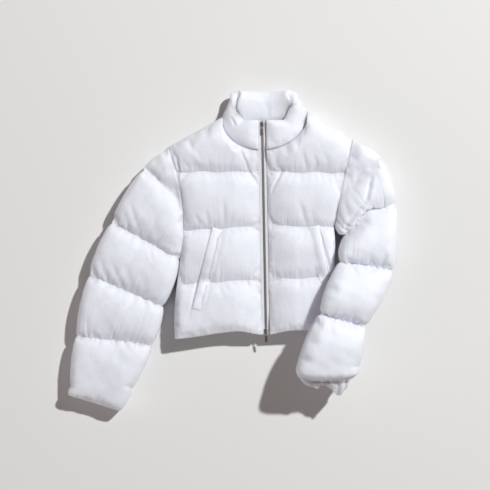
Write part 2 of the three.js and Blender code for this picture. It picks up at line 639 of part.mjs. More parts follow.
// A pocket welt: a thick strip, cut from below by the front that it lies on
function weltSolid(welt, front) {
  const along = new THREE.Vector2(welt.footX - welt.topX, welt.footY - welt.topY);
  const across = new THREE.Vector2(-along.y, along.x).normalize();
  const ray = new THREE.Raycaster();
  const panel = new THREE.Mesh(front, new THREE.MeshBasicMaterial({ side: THREE.DoubleSide }));
  const topOf = (x, y) => {
    ray.set(new THREE.Vector3(x, y, MID * 4), new THREE.Vector3(0, 0, -1));
    return ray.intersectObject(panel)[0].point.z;
  };
  const upper = [];
  const lower = [];
  for (let i = 0; i <= WELT.along; i++) {
    const row = [];
    for (let j = 0; j <= WELT.across; j++) {
      const side = (j / WELT.across - 0.5) * welt.width;
      const x = welt.topX + (along.x * i) / WELT.along + across.x * side;
      const y = welt.topY + (along.y * i) / WELT.along + across.y * side;
      row.push({ x, y, z: topOf(x, y) });
    }
    upper.push(row.map((p) => ({ ...p, z: p.z + WELT.lift + WELT.thick })));
    lower.push(row.map((p) => ({ ...p, z: p.z - WELT.thick })));
  }
  const slab = toManifold(panelSolid(upper, lower));
  return fromManifold(slab.subtract(toManifold(front).translate([0, 0, WELT.lift])));
}

// Slider body with an arched bridge that holds the pull's top bar
function sliderSolid(spec) {
  const outline = new THREE.Shape();
  const half = SLIDER.length / 2;
  outline.moveTo(-SLIDER.footWidth / 2, -half);
  outline.lineTo(SLIDER.footWidth / 2, -half);
  outline.lineTo(SLIDER.topWidth / 2, half * 0.4);
  outline.lineTo(SLIDER.topWidth / 2 - 1, half);
  outline.lineTo(-SLIDER.topWidth / 2 + 1, half);
  outline.lineTo(-SLIDER.topWidth / 2, half * 0.4);
  let solid = toManifold(new THREE.ExtrudeGeometry(outline, { depth: SLIDER.thick, bevelEnabled: false }));
  const roofZ = SLIDER.thick + spec.bridgeRise;
  const postY = (BRIDGE.span - BRIDGE.post) / 2 + BRIDGE.post;
  for (const way of [-1, 1]) {
    const high = spec.bridgeRise + BRIDGE.roof + SLIDER.thick / 2;
    const y = Math.max(-half + BRIDGE.post / 2, spec.bridgeY + way * postY);
    solid = solid.add(block(BRIDGE.width, BRIDGE.post, high, 0, y, SLIDER.thick / 2 + high / 2));
  }
  const low = Math.max(-half, spec.bridgeY - postY - BRIDGE.post / 2);
  const high = spec.bridgeY + postY + BRIDGE.post / 2;
  return solid.add(block(BRIDGE.width, high - low, BRIDGE.roof, 0, (low + high) / 2, roofZ + BRIDGE.roof / 2));
}

// Pull tab: a plate with a window whose top bar turns under the bridge; the bar's centre is the origin
function pullSolid() {
  const half = PULL.width / 2;
  const foot = PULL.bar / 2 - PULL.length;
  const plate = new THREE.Shape();
  plate.moveTo(-half, PULL.bar / 2);
  plate.lineTo(half, PULL.bar / 2);
  plate.lineTo(half, foot + PULL.corner);
  plate.quadraticCurveTo(half, foot, half - PULL.corner, foot);
  plate.lineTo(-half + PULL.corner, foot);
  plate.quadraticCurveTo(-half, foot, -half, foot + PULL.corner);
  const sheet = new THREE.ExtrudeGeometry(plate, { depth: PULL.thick, bevelEnabled: false, curveSegments: 3 });
  const solid = toManifold(sheet.translate(0, 0, -PULL.thick / 2));
  const inside = 2 * (PULL.railX - PULL.bar / 4);
  const windowY = -PULL.bar / 2 - PULL.windowLength / 2;
  return solid.subtract(block(inside, PULL.windowLength, PULL.thick * 2, 0, windowY, 0));
}

// Assembly
const cloth = new THREE.MeshStandardMaterial({ color: WHITE, roughness: 0.55, metalness: 0 });
const tape = new THREE.MeshStandardMaterial({ color: TAPE_WHITE, roughness: 0.8, metalness: 0 });
const metal = new THREE.MeshStandardMaterial({ color: METAL, roughness: 0.35, metalness: 1 });
const jacket = new THREE.Group();

function place(parent, name, geometry, material) {
  const mesh = new THREE.Mesh(geometry, material);
  mesh.name = name;
  parent.add(mesh);
  return mesh;
}

const fronts = { left: frontSolid("left"), right: frontSolid("right") };
place(jacket, "back", backSolid(), cloth);
place(jacket, "front_left", fronts.left, cloth);
place(jacket, "front_right", fronts.right, cloth);
place(jacket, "sleeve_left", sleeveSolid(LEFT_SLEEVE), cloth);
place(jacket, "sleeve_right", sleeveSolid(RIGHT_SLEEVE), cloth);
place(jacket, "collar", collarSolid(), cloth);
for (const welt of WELTS) place(jacket, welt.name, weltSolid(welt, fronts[welt.front]), cloth);
place(jacket, "zip_tape_left", zipStrip(-TAPE.outer, -TAPE.inner, TAPE.thick, ZIP.topY, ZIP.bottomY), tape);
place(jacket, "zip_tape_right", zipStrip(TAPE.inner, TAPE.outer, TAPE.thick, ZIP.topY, ZIP.bottomY), tape);
place(jacket, "zip_teeth", zipStrip(-CHAIN.half, CHAIN.half, CHAIN.thick, CHAIN.topY, CHAIN.bottomY), metal);

for (const spec of SLIDERS) {
  const station = new THREE.Group();
  station.position.set(zipX(spec.y), spec.y, zipZ(spec.y) + CHAIN.thick / 2 + SEAM_GAP);
  station.rotation.z = zipTilt;
  jacket.add(station);
  place(station, `slider_${spec.name}`, fromManifold(sliderSolid(spec)), metal);
  const hinge = new THREE.Group();
  hinge.position.set(0, spec.bridgeY, SLIDER.thick + spec.bridgeRise / 2);
  hinge.rotation.x = radians(spec.droop);
  station.add(hinge);
  place(hinge, `pull_${spec.name}`, fromManifold(pullSolid()), metal);
}

export default jacket;
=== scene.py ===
"""A white cropped puffer jacket, laid flat with its zip closed and one sleeve folded over the front.

Lengths in the pattern are in millimetres and become metres where a mesh is made.
"""

import logging
import math
from collections.abc import Callable, Iterable
from dataclasses import dataclass, field
from enum import Enum

import bpy
import numpy as np
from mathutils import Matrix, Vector


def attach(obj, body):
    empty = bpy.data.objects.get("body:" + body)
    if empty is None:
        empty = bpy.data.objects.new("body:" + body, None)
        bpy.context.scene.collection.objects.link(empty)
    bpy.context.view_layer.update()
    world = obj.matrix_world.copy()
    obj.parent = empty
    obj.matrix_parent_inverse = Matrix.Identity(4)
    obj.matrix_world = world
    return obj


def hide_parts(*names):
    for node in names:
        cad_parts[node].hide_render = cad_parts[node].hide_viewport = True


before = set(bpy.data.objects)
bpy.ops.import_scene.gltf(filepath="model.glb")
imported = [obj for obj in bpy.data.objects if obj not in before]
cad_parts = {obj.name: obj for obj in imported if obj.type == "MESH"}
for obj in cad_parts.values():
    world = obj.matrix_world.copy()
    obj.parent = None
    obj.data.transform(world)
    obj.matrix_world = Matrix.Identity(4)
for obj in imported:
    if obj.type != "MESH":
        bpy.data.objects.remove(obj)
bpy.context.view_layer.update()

MM = 0.001
BODY = "jacket"
CHANNEL = 128.0
SLEEVE_WIDTH = 160.0
FAR = 1e4

Maker = Callable[[bpy.types.NodeTree, bpy.types.NodeSocket], bpy.types.NodeSocket]

log = logging.getLogger("jacket")


class Side(Enum):
    """The viewer's side of the zip. The value is the side's sign along X."""

    LEFT = -1
    RIGHT = 1

    @property
    def word(self) -> str:
        """The side's name in the frame's node names."""
        return self.name.lower()


class Lie(Enum):
    """How a sleeve lies: flat on the surface, or folded over the front."""

    RESTING = "resting"
    FOLDED = "folded"


# Helpers on whole arrays


def lerp(a: np.ndarray, b: np.ndarray, u: np.ndarray) -> np.ndarray:
    """a where u is 0 and b where u is 1, on a straight line between."""
    return a + (b - a) * u


def ease(low: float, high: float, v: np.ndarray) -> np.ndarray:
    """0 below low and 1 above high, with a smooth cubic step between."""
    u = np.clip((v - low) / (high - low), 0, 1)
    return u * u * (3 - 2 * u)


def rounding(distance: np.ndarray, reach: float) -> np.ndarray:
    """A quarter circle: 0 at an edge, 1 at reach from it and beyond."""
    return np.sqrt(np.clip(1 - (1 - np.clip(distance / reach, 0, 1)) ** 2, 0, 1))


def loft(u: np.ndarray) -> np.ndarray:
    """Fullness across a filled channel: a half sine raised to 0.6, so its shoulders are full."""
    return np.sin(np.pi * np.clip(u, 0, 1)) ** 0.6


def waves(x: np.ndarray, y: np.ndarray, seed: int, length: float, count: int = 8) -> np.ndarray:
    """Smooth unevenness: a sum of plane sine waves in seeded directions.

    Args:
        x, y: Place of each point, in millimetres.
        seed: Picks the directions and phases.
        length: Mean wave length, in millimetres.
        count: Number of waves.

    Returns:
        Values of about -1 to 1.
    """
    draw = np.random.default_rng(seed)
    total = np.zeros(np.broadcast(x, y).shape)
    for _ in range(count):
        turn = draw.uniform(0, 2 * np.pi)
        phase = draw.uniform(0, 2 * np.pi)
        span = length * draw.uniform(0.6, 1.5)
        total += np.sin(2 * np.pi * (x * np.cos(turn) + y * np.sin(turn)) / span + phase)
    return total / math.sqrt(count * 1.6)


def drift(along: np.ndarray, seed: int, length: float) -> np.ndarray:
    """Unevenness along a line: a sum of five seeded sine waves, of about -1 to 1.

    Args:
        along: Length along the line, in millimetres.
        seed: Picks the wave lengths and phases.
        length: Mean wave length.

    Returns:
        Values from -1 to 1.
    """
    draw = np.random.default_rng(seed)
    total = np.zeros(np.shape(along))
    for _ in range(5):
        total += np.sin(2 * np.pi * along / (length * draw.uniform(0.55, 1.7)) + draw.uniform(0, 2 * np.pi))
    return np.clip(total / 2.6, -1, 1)


def puckers(along: np.ndarray, away: np.ndarray, seed: int, pitch: float, reach: float) -> np.ndarray:
    """Short creases that leave a seam at right angles and fade into the filled cloth.

    The crease profile is one minus a rectified sine of the length along the seam over the pitch, raised
    to 2.2.
    It falls exponentially with the distance from the seam, and each crease has its own reach and strength.

    Args:
        along: Length along the seam, in millimetres.
        away: Distance from the seam, in millimetres.
        seed: Picks the spacing.
        pitch: Mean distance between creases.
        reach: Distance in which a crease fades.

    Returns:
        Values from -1, the bottom of a crease, to 0.
    """
    bend = 0.12 * away * drift(along, seed + 1, pitch * 5)
    place = along + bend
    phase = np.pi * place / pitch + 1.3 * drift(place, seed, pitch * 3.1)
    strength = 0.25 + 0.75 * (0.5 + 0.5 * drift(place, seed + 2, pitch * 2.7)) ** 1.6
    length = reach * (0.55 + 0.6 * (0.5 + 0.5 * drift(place, seed + 3, pitch * 2.3)))
    return -((1 - np.abs(np.sin(phase))) ** 2.2) * strength * np.exp(-away / length) * ease(-1, 6, away)


def gathers(
    along: np.ndarray,
    past: np.ndarray,
    seed: int,
    pitch: float,
    reach: tuple[float, float],
    depth: tuple[float, float],
) -> np.ndarray:
    """Creases that cross a quilt line, longer and deeper on its upper side than on its lower side.

    Args:
        along: Length along the line, in millimetres.
        past: Signed distance past the line, positive on its upper side.
        seed: Picks the spacing.
        pitch: Mean distance between creases.
        reach: Distances in which a crease fades, above and below.
        depth: Depths at the line, above and below.

    Returns:
        Added height in millimetres, negative in a crease.
    """
    above = depth[0] * puckers(along, np.abs(past), seed, pitch, reach[0])
    below = depth[1] * puckers(along, np.abs(past), seed, pitch, reach[1])
    return np.where(past > 0, above, below)


@dataclass(frozen=True)
class Fold:
    """One crease or soft ridge in the cloth, from start to end as seen from above."""

    start: tuple[float, float]
    end: tuple[float, float]
    width: float
    depth: float
    lip: float = 0.0

    def relief(self, x: np.ndarray, y: np.ndarray) -> np.ndarray:
        """Height that the fold adds: a bell-shaped valley, with an optional raised lip on its left side.

        Args:
            x, y: Place of each point, in millimetres.

        Returns:
            Added height in millimetres, negative in a crease.
        """
        dx, dy = self.end[0] - self.start[0], self.end[1] - self.start[1]
        length = math.hypot(dx, dy)
        along = ((x - self.start[0]) * dx + (y - self.start[1]) * dy) / length
        off = ((y - self.start[1]) * dx - (x - self.start[0]) * dy) / length
        ends = ease(-0.25, 0.3, along / length) * ease(1.25, 0.7, along / length)
        valley = -self.depth * np.exp(-((off / self.width) ** 2))
        lip = self.lip * np.exp(-(((off - 1.9 * self.width) / (1.5 * self.width)) ** 2))
        return (valley + lip) * ends


def folded(folds: tuple[Fold, ...], x: np.ndarray, y: np.ndarray) -> np.ndarray:
    """The relief of several folds together, in millimetres.

    Args:
        folds: The folds.
        x, y: Place of each point, in millimetres.

    Returns:
        Added height in millimetres.
    """
    total = np.zeros(np.broadcast(x, y).shape)
    for fold in folds:
        total += fold.relief(x, y)
    return total


# Meshes from grids of points


def grid_quads(rows: int, cols: int, first: int = 0, looped: bool = False) -> np.ndarray:
    """Corner numbers of the quads of a grid whose points are numbered row by row.

    Args:
        rows, cols: Size of the grid.
        first: Number of the grid's first point.
        looped: Whether the last column joins the first.

    Returns:
        An array of four corner numbers for each quad.
    """
    i, j = np.meshgrid(np.arange(rows - 1), np.arange(cols if looped else cols - 1), indexing="ij")
    k = (j + 1) % cols
    quads = np.stack([i * cols + j, i * cols + k, (i + 1) * cols + k, (i + 1) * cols + j], axis=-1)
    return quads.reshape(-1, 4) + first


def rim_quads(first: np.ndarray, second: np.ndarray, looped: bool) -> np.ndarray:
    """Quads that join two rows of point numbers side by side."""
    a, b = (np.append(r, r[:1]) for r in (first, second)) if looped else (first, second)
    return np.stack([a[:-1], a[1:], b[1:], b[:-1]], axis=-1)


def mesh_object(name: str, points: np.ndarray, quads: np.ndarray, smooth: bool = True) -> bpy.types.Object:
    """Makes a closed mesh object at the origin, with its faces outwards.

    Args:
        name: The piece's name.
        points: Points in millimetres, one row each.
        quads: Corner numbers, one row for each face.
        smooth: Whether its shading is smooth.

    Returns:
        The new object.
    """
    corners = points[quads]
    centre = points.mean(axis=0)
    across = np.cross(corners[:, 2] - corners[:, 0], corners[:, 3] - corners[:, 1])
    outward = np.einsum("ij,ij->", across, corners.mean(axis=1) - centre)
    faces = quads if outward > 0 else quads[:, ::-1]
    mesh = bpy.data.meshes.new(name)
    mesh.vertices.add(len(points))
    mesh.vertices.foreach_set("co", (points * MM).astype(np.float32).ravel())
    mesh.loops.add(faces.size)
    mesh.loops.foreach_set("vertex_index", faces.ravel().astype(np.int32))
    mesh.polygons.add(len(faces))
    mesh.polygons.foreach_set("loop_start", np.arange(0, faces.size, 4, dtype=np.int32))
    mesh.polygons.foreach_set("use_smooth", np.full(len(faces), smooth))
    mesh.update(calc_edges=True)
    mesh.validate()
    piece = bpy.data.objects.new(name, mesh)
    bpy.context.scene.collection.objects.link(piece)
    return piece


def shell_quads(rows: int, cols: int) -> np.ndarray:
    """Quads of a closed shell: an upper grid, a lower grid of the same size, and their joined borders.

    Args:
        rows, cols: Size of each grid.

    Returns:
        An array of four corner numbers for each quad.
    """
    count = rows * cols
    number = np.arange(count).reshape(rows, cols)
    border = np.concatenate([number[0, :-1], number[:-1, -1], number[-1, :0:-1], number[:0:-1, 0]])
    return np.concatenate(
        [
            grid_quads(rows, cols),
            grid_quads(rows, cols, count)[:, ::-1],
            rim_quads(border, border + count, True)[:, ::-1],
        ]
    )


def cap_quads(ring: np.ndarray) -> np.ndarray:
    """Quads that close a ring of an even count of point numbers, in a strip from its start to its middle."""
    half = len(ring) // 2
    return rim_quads(ring[:half], ring[::-1][:half], False)


def tube_quads(rows: int, cols: int) -> np.ndarray:
    """Quads of a grid whose last column joins the first, closed by a cap at each end.

    Args:
        rows, cols: Size of the grid.

    Returns:
        An array of four corner numbers for each quad.
    """
    number = np.arange(rows * cols).reshape(rows, cols)
    caps = [cap_quads(number[0])[:, ::-1], cap_quads(number[-1])]
    return np.concatenate([grid_quads(rows, cols, 0, True), *caps])


@dataclass
class Sweep:
    """Rods and plates: a rounded section carried along a path."""

    around: int = 12
    power: float = 2.0

    def parts(
        self, path: np.ndarray, wide: np.ndarray, tall: np.ndarray, up: np.ndarray, looped: bool = False
    ) -> tuple[np.ndarray, np.ndarray]:
        """Points and quads of one rod. The section is a superellipse: cosine and sine raised to 2 / power.

        Args:
            path: Points along the middle.
            wide, tall: Half sizes of the section across and along the up direction, one number or one for
                each point.
            up: Direction of the section's height.
            looped: Whether the path's end joins its start.

        Returns:
            Points in millimetres and quads.
        """
        if looped:
            tangent = np.roll(path, -1, axis=0) - np.roll(path, 1, axis=0)
        else:
            tangent = np.gradient(path, axis=0)
        tangent /= np.linalg.norm(tangent, axis=-1, keepdims=True)
        across = np.cross(tangent, up)
        across /= np.linalg.norm(across, axis=-1, keepdims=True)
        rise = np.cross(across, tangent)
        angle = (np.arange(self.around) + 0.5) * 2 * np.pi / self.around
        cos, sin = np.cos(angle), np.sin(angle)
        flat = np.sign(cos) * np.abs(cos) ** (2 / self.power)
        high = np.sign(sin) * np.abs(sin) ** (2 / self.power)
        wide, tall = np.broadcast_to(wide, len(path)), np.broadcast_to(tall, len(path))
        points = (
            path[:, None]
            + across[:, None] * (wide[:, None] * flat)[..., None]
            + rise[:, None] * (tall[:, None] * high)[..., None]
        )
        if not looped:
            return points.reshape(-1, 3), tube_quads(len(path), self.around)
        number = np.arange(len(path) * self.around).reshape(len(path), self.around)
        closing = rim_quads(number[-1], number[0], True)
        return points.reshape(-1, 3), np.concatenate([grid_quads(*number.shape, 0, True), closing])


def joined(parts: list[tuple[np.ndarray, np.ndarray]]) -> tuple[np.ndarray, np.ndarray]:
    """Joins point and quad arrays into one pair."""
    starts = np.cumsum([0] + [len(points) for points, _ in parts[:-1]])
    return np.concatenate([p for p, _ in parts]), np.concatenate([q + n for (_, q), n in zip(parts, starts)])


def bordered(grid: np.ndarray, axis: int, width: int, wrap: bool) -> np.ndarray:
    """Brings an axis to the front and adds rows at both of its ends.

    Args:
        grid: Values with rows and columns as first axes.
        axis: The axis that gets the rows.
        width: Number of rows added at each end.
        wrap: Whether they repeat the other end. Otherwise they mirror the grid through its border.

    Returns:
        The wider values, with that axis first.
    """
    pad = [(0, 0)] * grid.ndim
    pad[axis] = (width, width)
    if wrap:
        wide = np.pad(grid, pad, mode="wrap")
    else:
        wide = np.pad(grid, pad, mode="reflect", reflect_type="odd")
    return np.moveaxis(wide, axis, 0)


def smoothed(grid: np.ndarray, looped: bool) -> np.ndarray:
    """One pass of the binomial filter 1-2-1 along rows and columns, which keeps straight borders.

    Args:
        grid: Values with rows and columns as first axes.
        looped: Whether the last column joins the first.

    Returns:
        The smoothed values.
    """
    for axis in (0, 1):
        wide = bordered(grid, axis, 1, looped and axis == 1)
        grid = np.moveaxis((wide[:-2] + 2 * wide[1:-1] + wide[2:]) / 4, 0, axis)
    return grid


def finer(grid: np.ndarray, looped: bool) -> np.ndarray:
    """Puts a new row and column between each two, by the four-point rule (-1, 9, 9, -1) / 16.

    Args:
        grid: Values with rows and columns as first axes.
        looped: Whether the last column joins the first.

    Returns:
        Values on a grid of twice as many rows and columns, less one where it isn't looped.
    """
    for axis in (0, 1):
        wrap = looped and axis == 1
        wide = bordered(grid, axis, 2, wrap)
        known = wide[2:-2]
        between = (9 * (wide[2:-2] + wide[3:-1]) - wide[1:-3] - wide[4:]) / 16
        between = between if wrap else between[:-1]
        out = np.empty((len(known) + len(between), *known.shape[1:]))
        out[0::2], out[1::2] = known, between
        grid = np.moveaxis(out, 0, axis)
    return grid


@dataclass(frozen=True)
class Settling:
    """Cloth simulation over the filling: pressure swells the cloth, and its surplus gathers at the seams."""

    pressure: float = 150.0
    surplus: float = 0.06
    frames: int = 20
    cap: float = 13.0

    def moves(self, points: np.ndarray, pinned: np.ndarray, looped: bool = False) -> np.ndarray:
        """Lets a grid of cloth settle between its pinned points.

        Args:
            points: The grid before, in millimetres.
            pinned: True where the cloth is sewn down or rests.
            looped: Whether the last column joins the first.

        Returns: How far each point moves, in millimetres.
        """
        rows, cols = pinned.shape
        piece = mesh_object("settling", points.reshape(-1, 3), grid_quads(rows, cols, 0, looped))
        group = piece.vertex_groups.new(name="pins")
        group.add(np.flatnonzero(pinned).tolist(), 1.0, "REPLACE")
        cloth = piece.modifiers.new("cloth", "CLOTH")
        cloth.point_cache.frame_start, cloth.point_cache.frame_end = 1, self.frames
        cloth.settings.vertex_group_mass = group.name
        cloth.settings.shrink_min = -self.surplus
        cloth.settings.use_pressure = True
        cloth.settings.uniform_pressure_force = self.pressure
        cloth.settings.effector_weights.gravity = 0
        for number in range(1, self.frames + 1):
            bpy.context.scene.frame_set(number)
        settled = piece.evaluated_get(bpy.context.evaluated_depsgraph_get())
        after = np.empty(points.size, np.float32)
        settled.data.vertices.foreach_get("co", after)
        moved = after.reshape(points.shape) / MM - points
        mesh = piece.data
        bpy.data.objects.remove(piece)
        bpy.data.meshes.remove(mesh)
        bpy.context.scene.frame_set(1)
        far = np.linalg.norm(moved, axis=-1, keepdims=True)
        moved *= self.cap / (self.cap + np.maximum(far - self.cap * 0.5, 0))
        return smoothed(moved, looped) * ~pinned[..., None]


@dataclass
class Surface:
    """A grid of points over two parameters, so that trims can be laid on it."""

    t: np.ndarray
    s: np.ndarray
    points: np.ndarray

    def at(self, t: np.ndarray, s: np.ndarray) -> np.ndarray:
        """Points at any place, by straight interpolation between the grid's four nearest.

        Args:
            t, s: Parameters of each place.

        Returns:
            Points in millimetres, with a last axis of three.
        """
        i = np.clip(np.searchsorted(self.t, t) - 1, 0, len(self.t) - 2)
        j = np.clip(np.searchsorted(self.s, s) - 1, 0, len(self.s) - 2)
        u = np.clip((t - self.t[i]) / (self.t[i + 1] - self.t[i]), 0, 1)[..., None]
        v = np.clip((s - self.s[j]) / (self.s[j + 1] - self.s[j]), 0, 1)[..., None]
        p = self.points
        return lerp(lerp(p[i, j], p[i, j + 1], v), lerp(p[i + 1, j], p[i + 1, j + 1], v), u)


class HeightMap:
    """Height of the settled cloth seen from above, for the trims that lie on it."""

    def __init__(
        self, surfaces: list[Surface], softness: int, cell: float = 3.0, bare: float = 40.0
    ) -> None:
        """Keeps the highest point over each cell, fills empty cells from their neighbours and smooths.

        Args:
            surfaces: The cloth that the trims lie on.
            softness: Number of smoothing passes, for trims that bridge the seams.
            cell: Side of a cell, in millimetres.
            bare: Height of the cells that no cloth is near, in millimetres.
        """
        points = np.concatenate([surface.points.reshape(-1, 3) for surface in surfaces])
        self.cell, self.low = cell, points[:, :2].min(axis=0) - 2 * cell
        place = np.floor((points[:, :2] - self.low) / cell).astype(int)
        height = np.full(place.max(axis=0) + 3, -np.inf)
        np.maximum.at(height, (place[:, 0], place[:, 1]), points[:, 2])
        rows, cols = height.shape
        shifts = [(i, j) for i in range(3) for j in range(3)]
        for _ in range(4):
            wide = np.pad(height, 1, mode="edge")
            near = np.max([wide[i : i + rows, j : j + cols] for i, j in shifts], axis=0)
            height = np.where(np.isfinite(height), height, near)
        height = np.where(np.isfinite(height), height, bare)
        for _ in range(softness):
            height = smoothed(height, False)
        self.height = height

    def at(self, x: np.ndarray, y: np.ndarray) -> np.ndarray:
        """Height at places seen from above, by straight interpolation.

        Args:
            x, y: Place of each point, in millimetres.

        Returns:
            Heights in millimetres.
        """
        place = (np.stack([x, y], axis=-1) - self.low) / self.cell - 0.5
        corner = np.clip(np.floor(place).astype(int), 0, np.array(self.height.shape) - 2)
        u = np.clip(place - corner, 0, 1)
        i, j, h = corner[..., 0], corner[..., 1], self.height
        near, far = lerp(h[i, j], h[i + 1, j], u[..., 0]), lerp(h[i, j + 1], h[i + 1, j + 1], u[..., 0])
        return lerp(near, far, u[..., 1])


def channel_rows(steps: list[int]) -> np.ndarray:
    """Row places, closer together near the quilt lines: a blend of even and cosine spacing.

    Args:
        steps: Number of rows between each quilt line and the next.

    Returns:
        Places, where a whole number is a quilt line.
    """
    places = []
    for line, count in enumerate(steps):
        u = np.arange(count) / count
        places.append(line + 0.45 * u + 0.55 * (1 - np.cos(np.pi * u)) / 2)
    return np.append(np.concatenate(places), len(steps))


# The cut of the jacket


@dataclass(frozen=True)
class QuiltRow:
    """Where a quilt line of the body meets its side seams or armholes, and the zip."""

    left: tuple[float, float]
    right: tuple[float, float]
    zip_y: float
    left_bulge: float = 0.0
    right_bulge: float = 0.0


@dataclass(frozen=True)
class Cut:
    """The body's outline seen from above, and the heights of its padding."""

    rows: tuple[QuiltRow, ...] = (
        QuiltRow((-213.6, -208.8), (182, -186), -198, 3.5, 2),
        QuiltRow((-208.8, -76.8), (166, -60), -65, 0, 4),
        QuiltRow((-193.2, 50.4), (168, 60), 64, -5, 0),
        QuiltRow((-208.8, 192), (194.4, 189.6), 193),
        QuiltRow((-230.4, 252), (213.6, 271.2), 245),
    )
    underarm: int = 2
    yoke: int = 3
    top: int = 4
    middle: float = 38.0
    layer_gap: float = 0.5
    seam_gap: float = 0.3
    crest: float = 28.0
    back_crest: float = 46.0
    stitch: float = 17.0
    edge: float = 5.0
    armhole_level: float = 23.0
    side_level: float = 13.0
    hem_level: float = 22.0
    zip_level: float = 11.0
    side_roll: float = 17.0
    armhole_roll: float = 46.0
    zip_roll: float = 70.0
    hem_roll: float = 5.0
    top_roll: float = 40.0
    neck_level: float = 11.0
    neck_lift: float = 10.0
    neck_x: float = 2.4
    neck_half: float = 103.0
    neck_side_y: float = 330.6
    neck_tilt: float = 0.064
    neck_front: float = 86.0
    neck_back: float = 26.0
    neck_power: float = 0.9
    neck_share: float = 0.58
    neck_share_back: float = 0.3
    zip_opening: float = 9.3
    zip_top_y: float = 316.8
    zip_length: float = 514.8
    zip_drift: float = 4.8
    zip_hem_z: float = 43.0
    zip_front_z: float = 48.0
    zip_collar_rise: float = 9.0
    hem_arch_left: float = 11.0
    hem_arch_right: float = 6.0
    hem_arch_peak: float = 0.72

    def zip_x(self, y: np.ndarray) -> np.ndarray:
        """Place of the zip's line across the body, straight from hem to collar."""
        return lerp(-self.zip_drift, self.zip_drift, (self.zip_top_y - y) / self.zip_length)

    def zip_z(self, y: np.ndarray) -> np.ndarray:
        """Height of the zip's tapes, lower at the hem and higher up the collar."""
        low = lerp(self.zip_hem_z, self.zip_front_z, ease(-182, -140, y))
        return low + self.zip_collar_rise * ease(215, 262, y)

    def side(self, side: Side, t: np.ndarray) -> np.ndarray:
        """Side seam and armhole: straight between rows, with a parabola where a row bulges.

        Args:
            side: Which side of the zip.
            t: Row place, from 0 at the hem to 4 at the shoulder.

        Returns:
            Places seen from above, in millimetres.
        """
        ends = np.array([getattr(row, side.word) for row in self.rows])
        bulges = np.array([getattr(row, f"{side.word}_bulge") for row in self.rows])
        k = np.clip(np.floor(t).astype(int), 0, self.top - 1)
        u = t - k
        x = lerp(ends[k, 0], ends[k + 1, 0], u) + bulges[k] * 4 * u * (1 - u) * side.value
        return np.stack([x, lerp(ends[k, 1], ends[k + 1, 1], u)], axis=-1)

    def shoulder(self, side: Side) -> np.ndarray:
        """Where an armhole ends at the shoulder seam."""
        return self.side(side, np.array(float(self.top)))

    def neck(self, angle: np.ndarray) -> np.ndarray:
        """Neck seam: an ellipse that droops, deeper in front, with the cosine raised to 0.9.

        Args:
            angle: Angle round the neck from the zip, in radians.

        Returns:
            Places seen from above, in millimetres.
        """
        x = self.neck_x - self.neck_half * np.sin(angle)
        depth = np.where(np.cos(angle) > 0, self.neck_front, self.neck_back)
        droop = depth * np.abs(np.cos(angle)) ** self.neck_power
        return np.stack([x, self.neck_side_y + self.neck_tilt * x - droop], axis=-1)

    def zip_angle(self, side: Side) -> float:
        """Angle round the neck where a front's zip edge meets it."""
        edge = self.zip_x(245) + side.value * self.zip_opening
        return math.asin((self.neck_x - edge) / self.neck_half)

    def neck_angle(self, side: Side, share: np.ndarray) -> np.ndarray:
        """Angle round the neck, from the shoulder at 0 to the zip at 1."""
        return lerp(-side.value * math.pi / 2, self.zip_angle(side), share)

    def front_top(self, side: Side, s: np.ndarray) -> np.ndarray:
        """Top border of a front: the shoulder seam and then the neck seam as far as the zip.

        Args:
            side: Which front.
            s: Place from the side seam at 0 to the zip at 1.

        Returns:
            Places seen from above, in millimetres.
        """
        shoulder = lerp(
            self.shoulder(side), self.neck(self.neck_angle(side, 0)), (s / self.neck_share)[..., None]
        )
        share = np.clip((s - self.neck_share) / (1 - self.neck_share), 0, 1)
        neck = self.neck(self.neck_angle(side, share)) - [0, self.seam_gap]
        return np.where((s <= self.neck_share)[..., None], shoulder, neck)

    def front(self, side: Side, t: np.ndarray, s: np.ndarray) -> np.ndarray:
        """A front seen from above: rows from its side to its zip, lifted a little at the hem's arch.

        Args:
            side: Which front.
            t, s: Row place, and place from the side seam to the zip.

        Returns:
            Places seen from above, in millimetres.
        """
        t, s = np.broadcast_arrays(t, s)
        low = np.minimum(t, self.yoke)
        y = np.interp(low, np.arange(len(self.rows)), [row.zip_y for row in self.rows])
        zip_edge = np.stack([self.zip_x(y) + side.value * self.zip_opening, y], axis=-1)
        p = lerp(self.side(side, low), zip_edge, s[..., None])
        rise = self.hem_arch_left if side is Side.LEFT else self.hem_arch_right
        peak = self.hem_arch_peak
        hump = np.where(s < peak, ease(0, peak, s), ease(1, peak, s))
        p[..., 1] += rise * hump * (1 - np.clip(t, 0, 1)) ** 2
        return lerp(p, self.front_top(side, s), np.clip(t - self.yoke, 0, 1)[..., None])

    def back_top(self, s: np.ndarray) -> np.ndarray:
        """Top border of the back: a shoulder seam, the back of the neck and the other shoulder seam.

        Args:
            s: Place from the left side seam at 0 to the right one at 1.

        Returns:
            Places seen from above, in millimetres.
        """
        share = self.neck_share_back
        left = lerp(self.shoulder(Side.LEFT), self.neck(np.array(math.pi / 2)), (s / share)[..., None])
        right = lerp(
            self.shoulder(Side.RIGHT), self.neck(np.array(-math.pi / 2)), ((1 - s) / share)[..., None]
        )
        turn = np.clip((s - share) / (1 - 2 * share), 0, 1)
        neck = self.neck(math.pi * (0.5 + turn)) - [0, self.seam_gap]
        return np.where((s < share)[..., None], left, np.where((s > 1 - share)[..., None], right, neck))

    def back(self, t: np.ndarray, s: np.ndarray) -> np.ndarray:
        """The back seen from above: rows from side to side.

        Args:
            t, s: Row place, and place from the left side seam to the right one.

        Returns:
            Places seen from above, in millimetres.
        """
        t, s = np.broadcast_arrays(t, s)
        low = np.minimum(t, self.yoke)
        p = lerp(self.side(Side.LEFT, low), self.side(Side.RIGHT, low), s[..., None])
        return lerp(p, self.back_top(s), np.clip(t - self.yoke, 0, 1)[..., None])

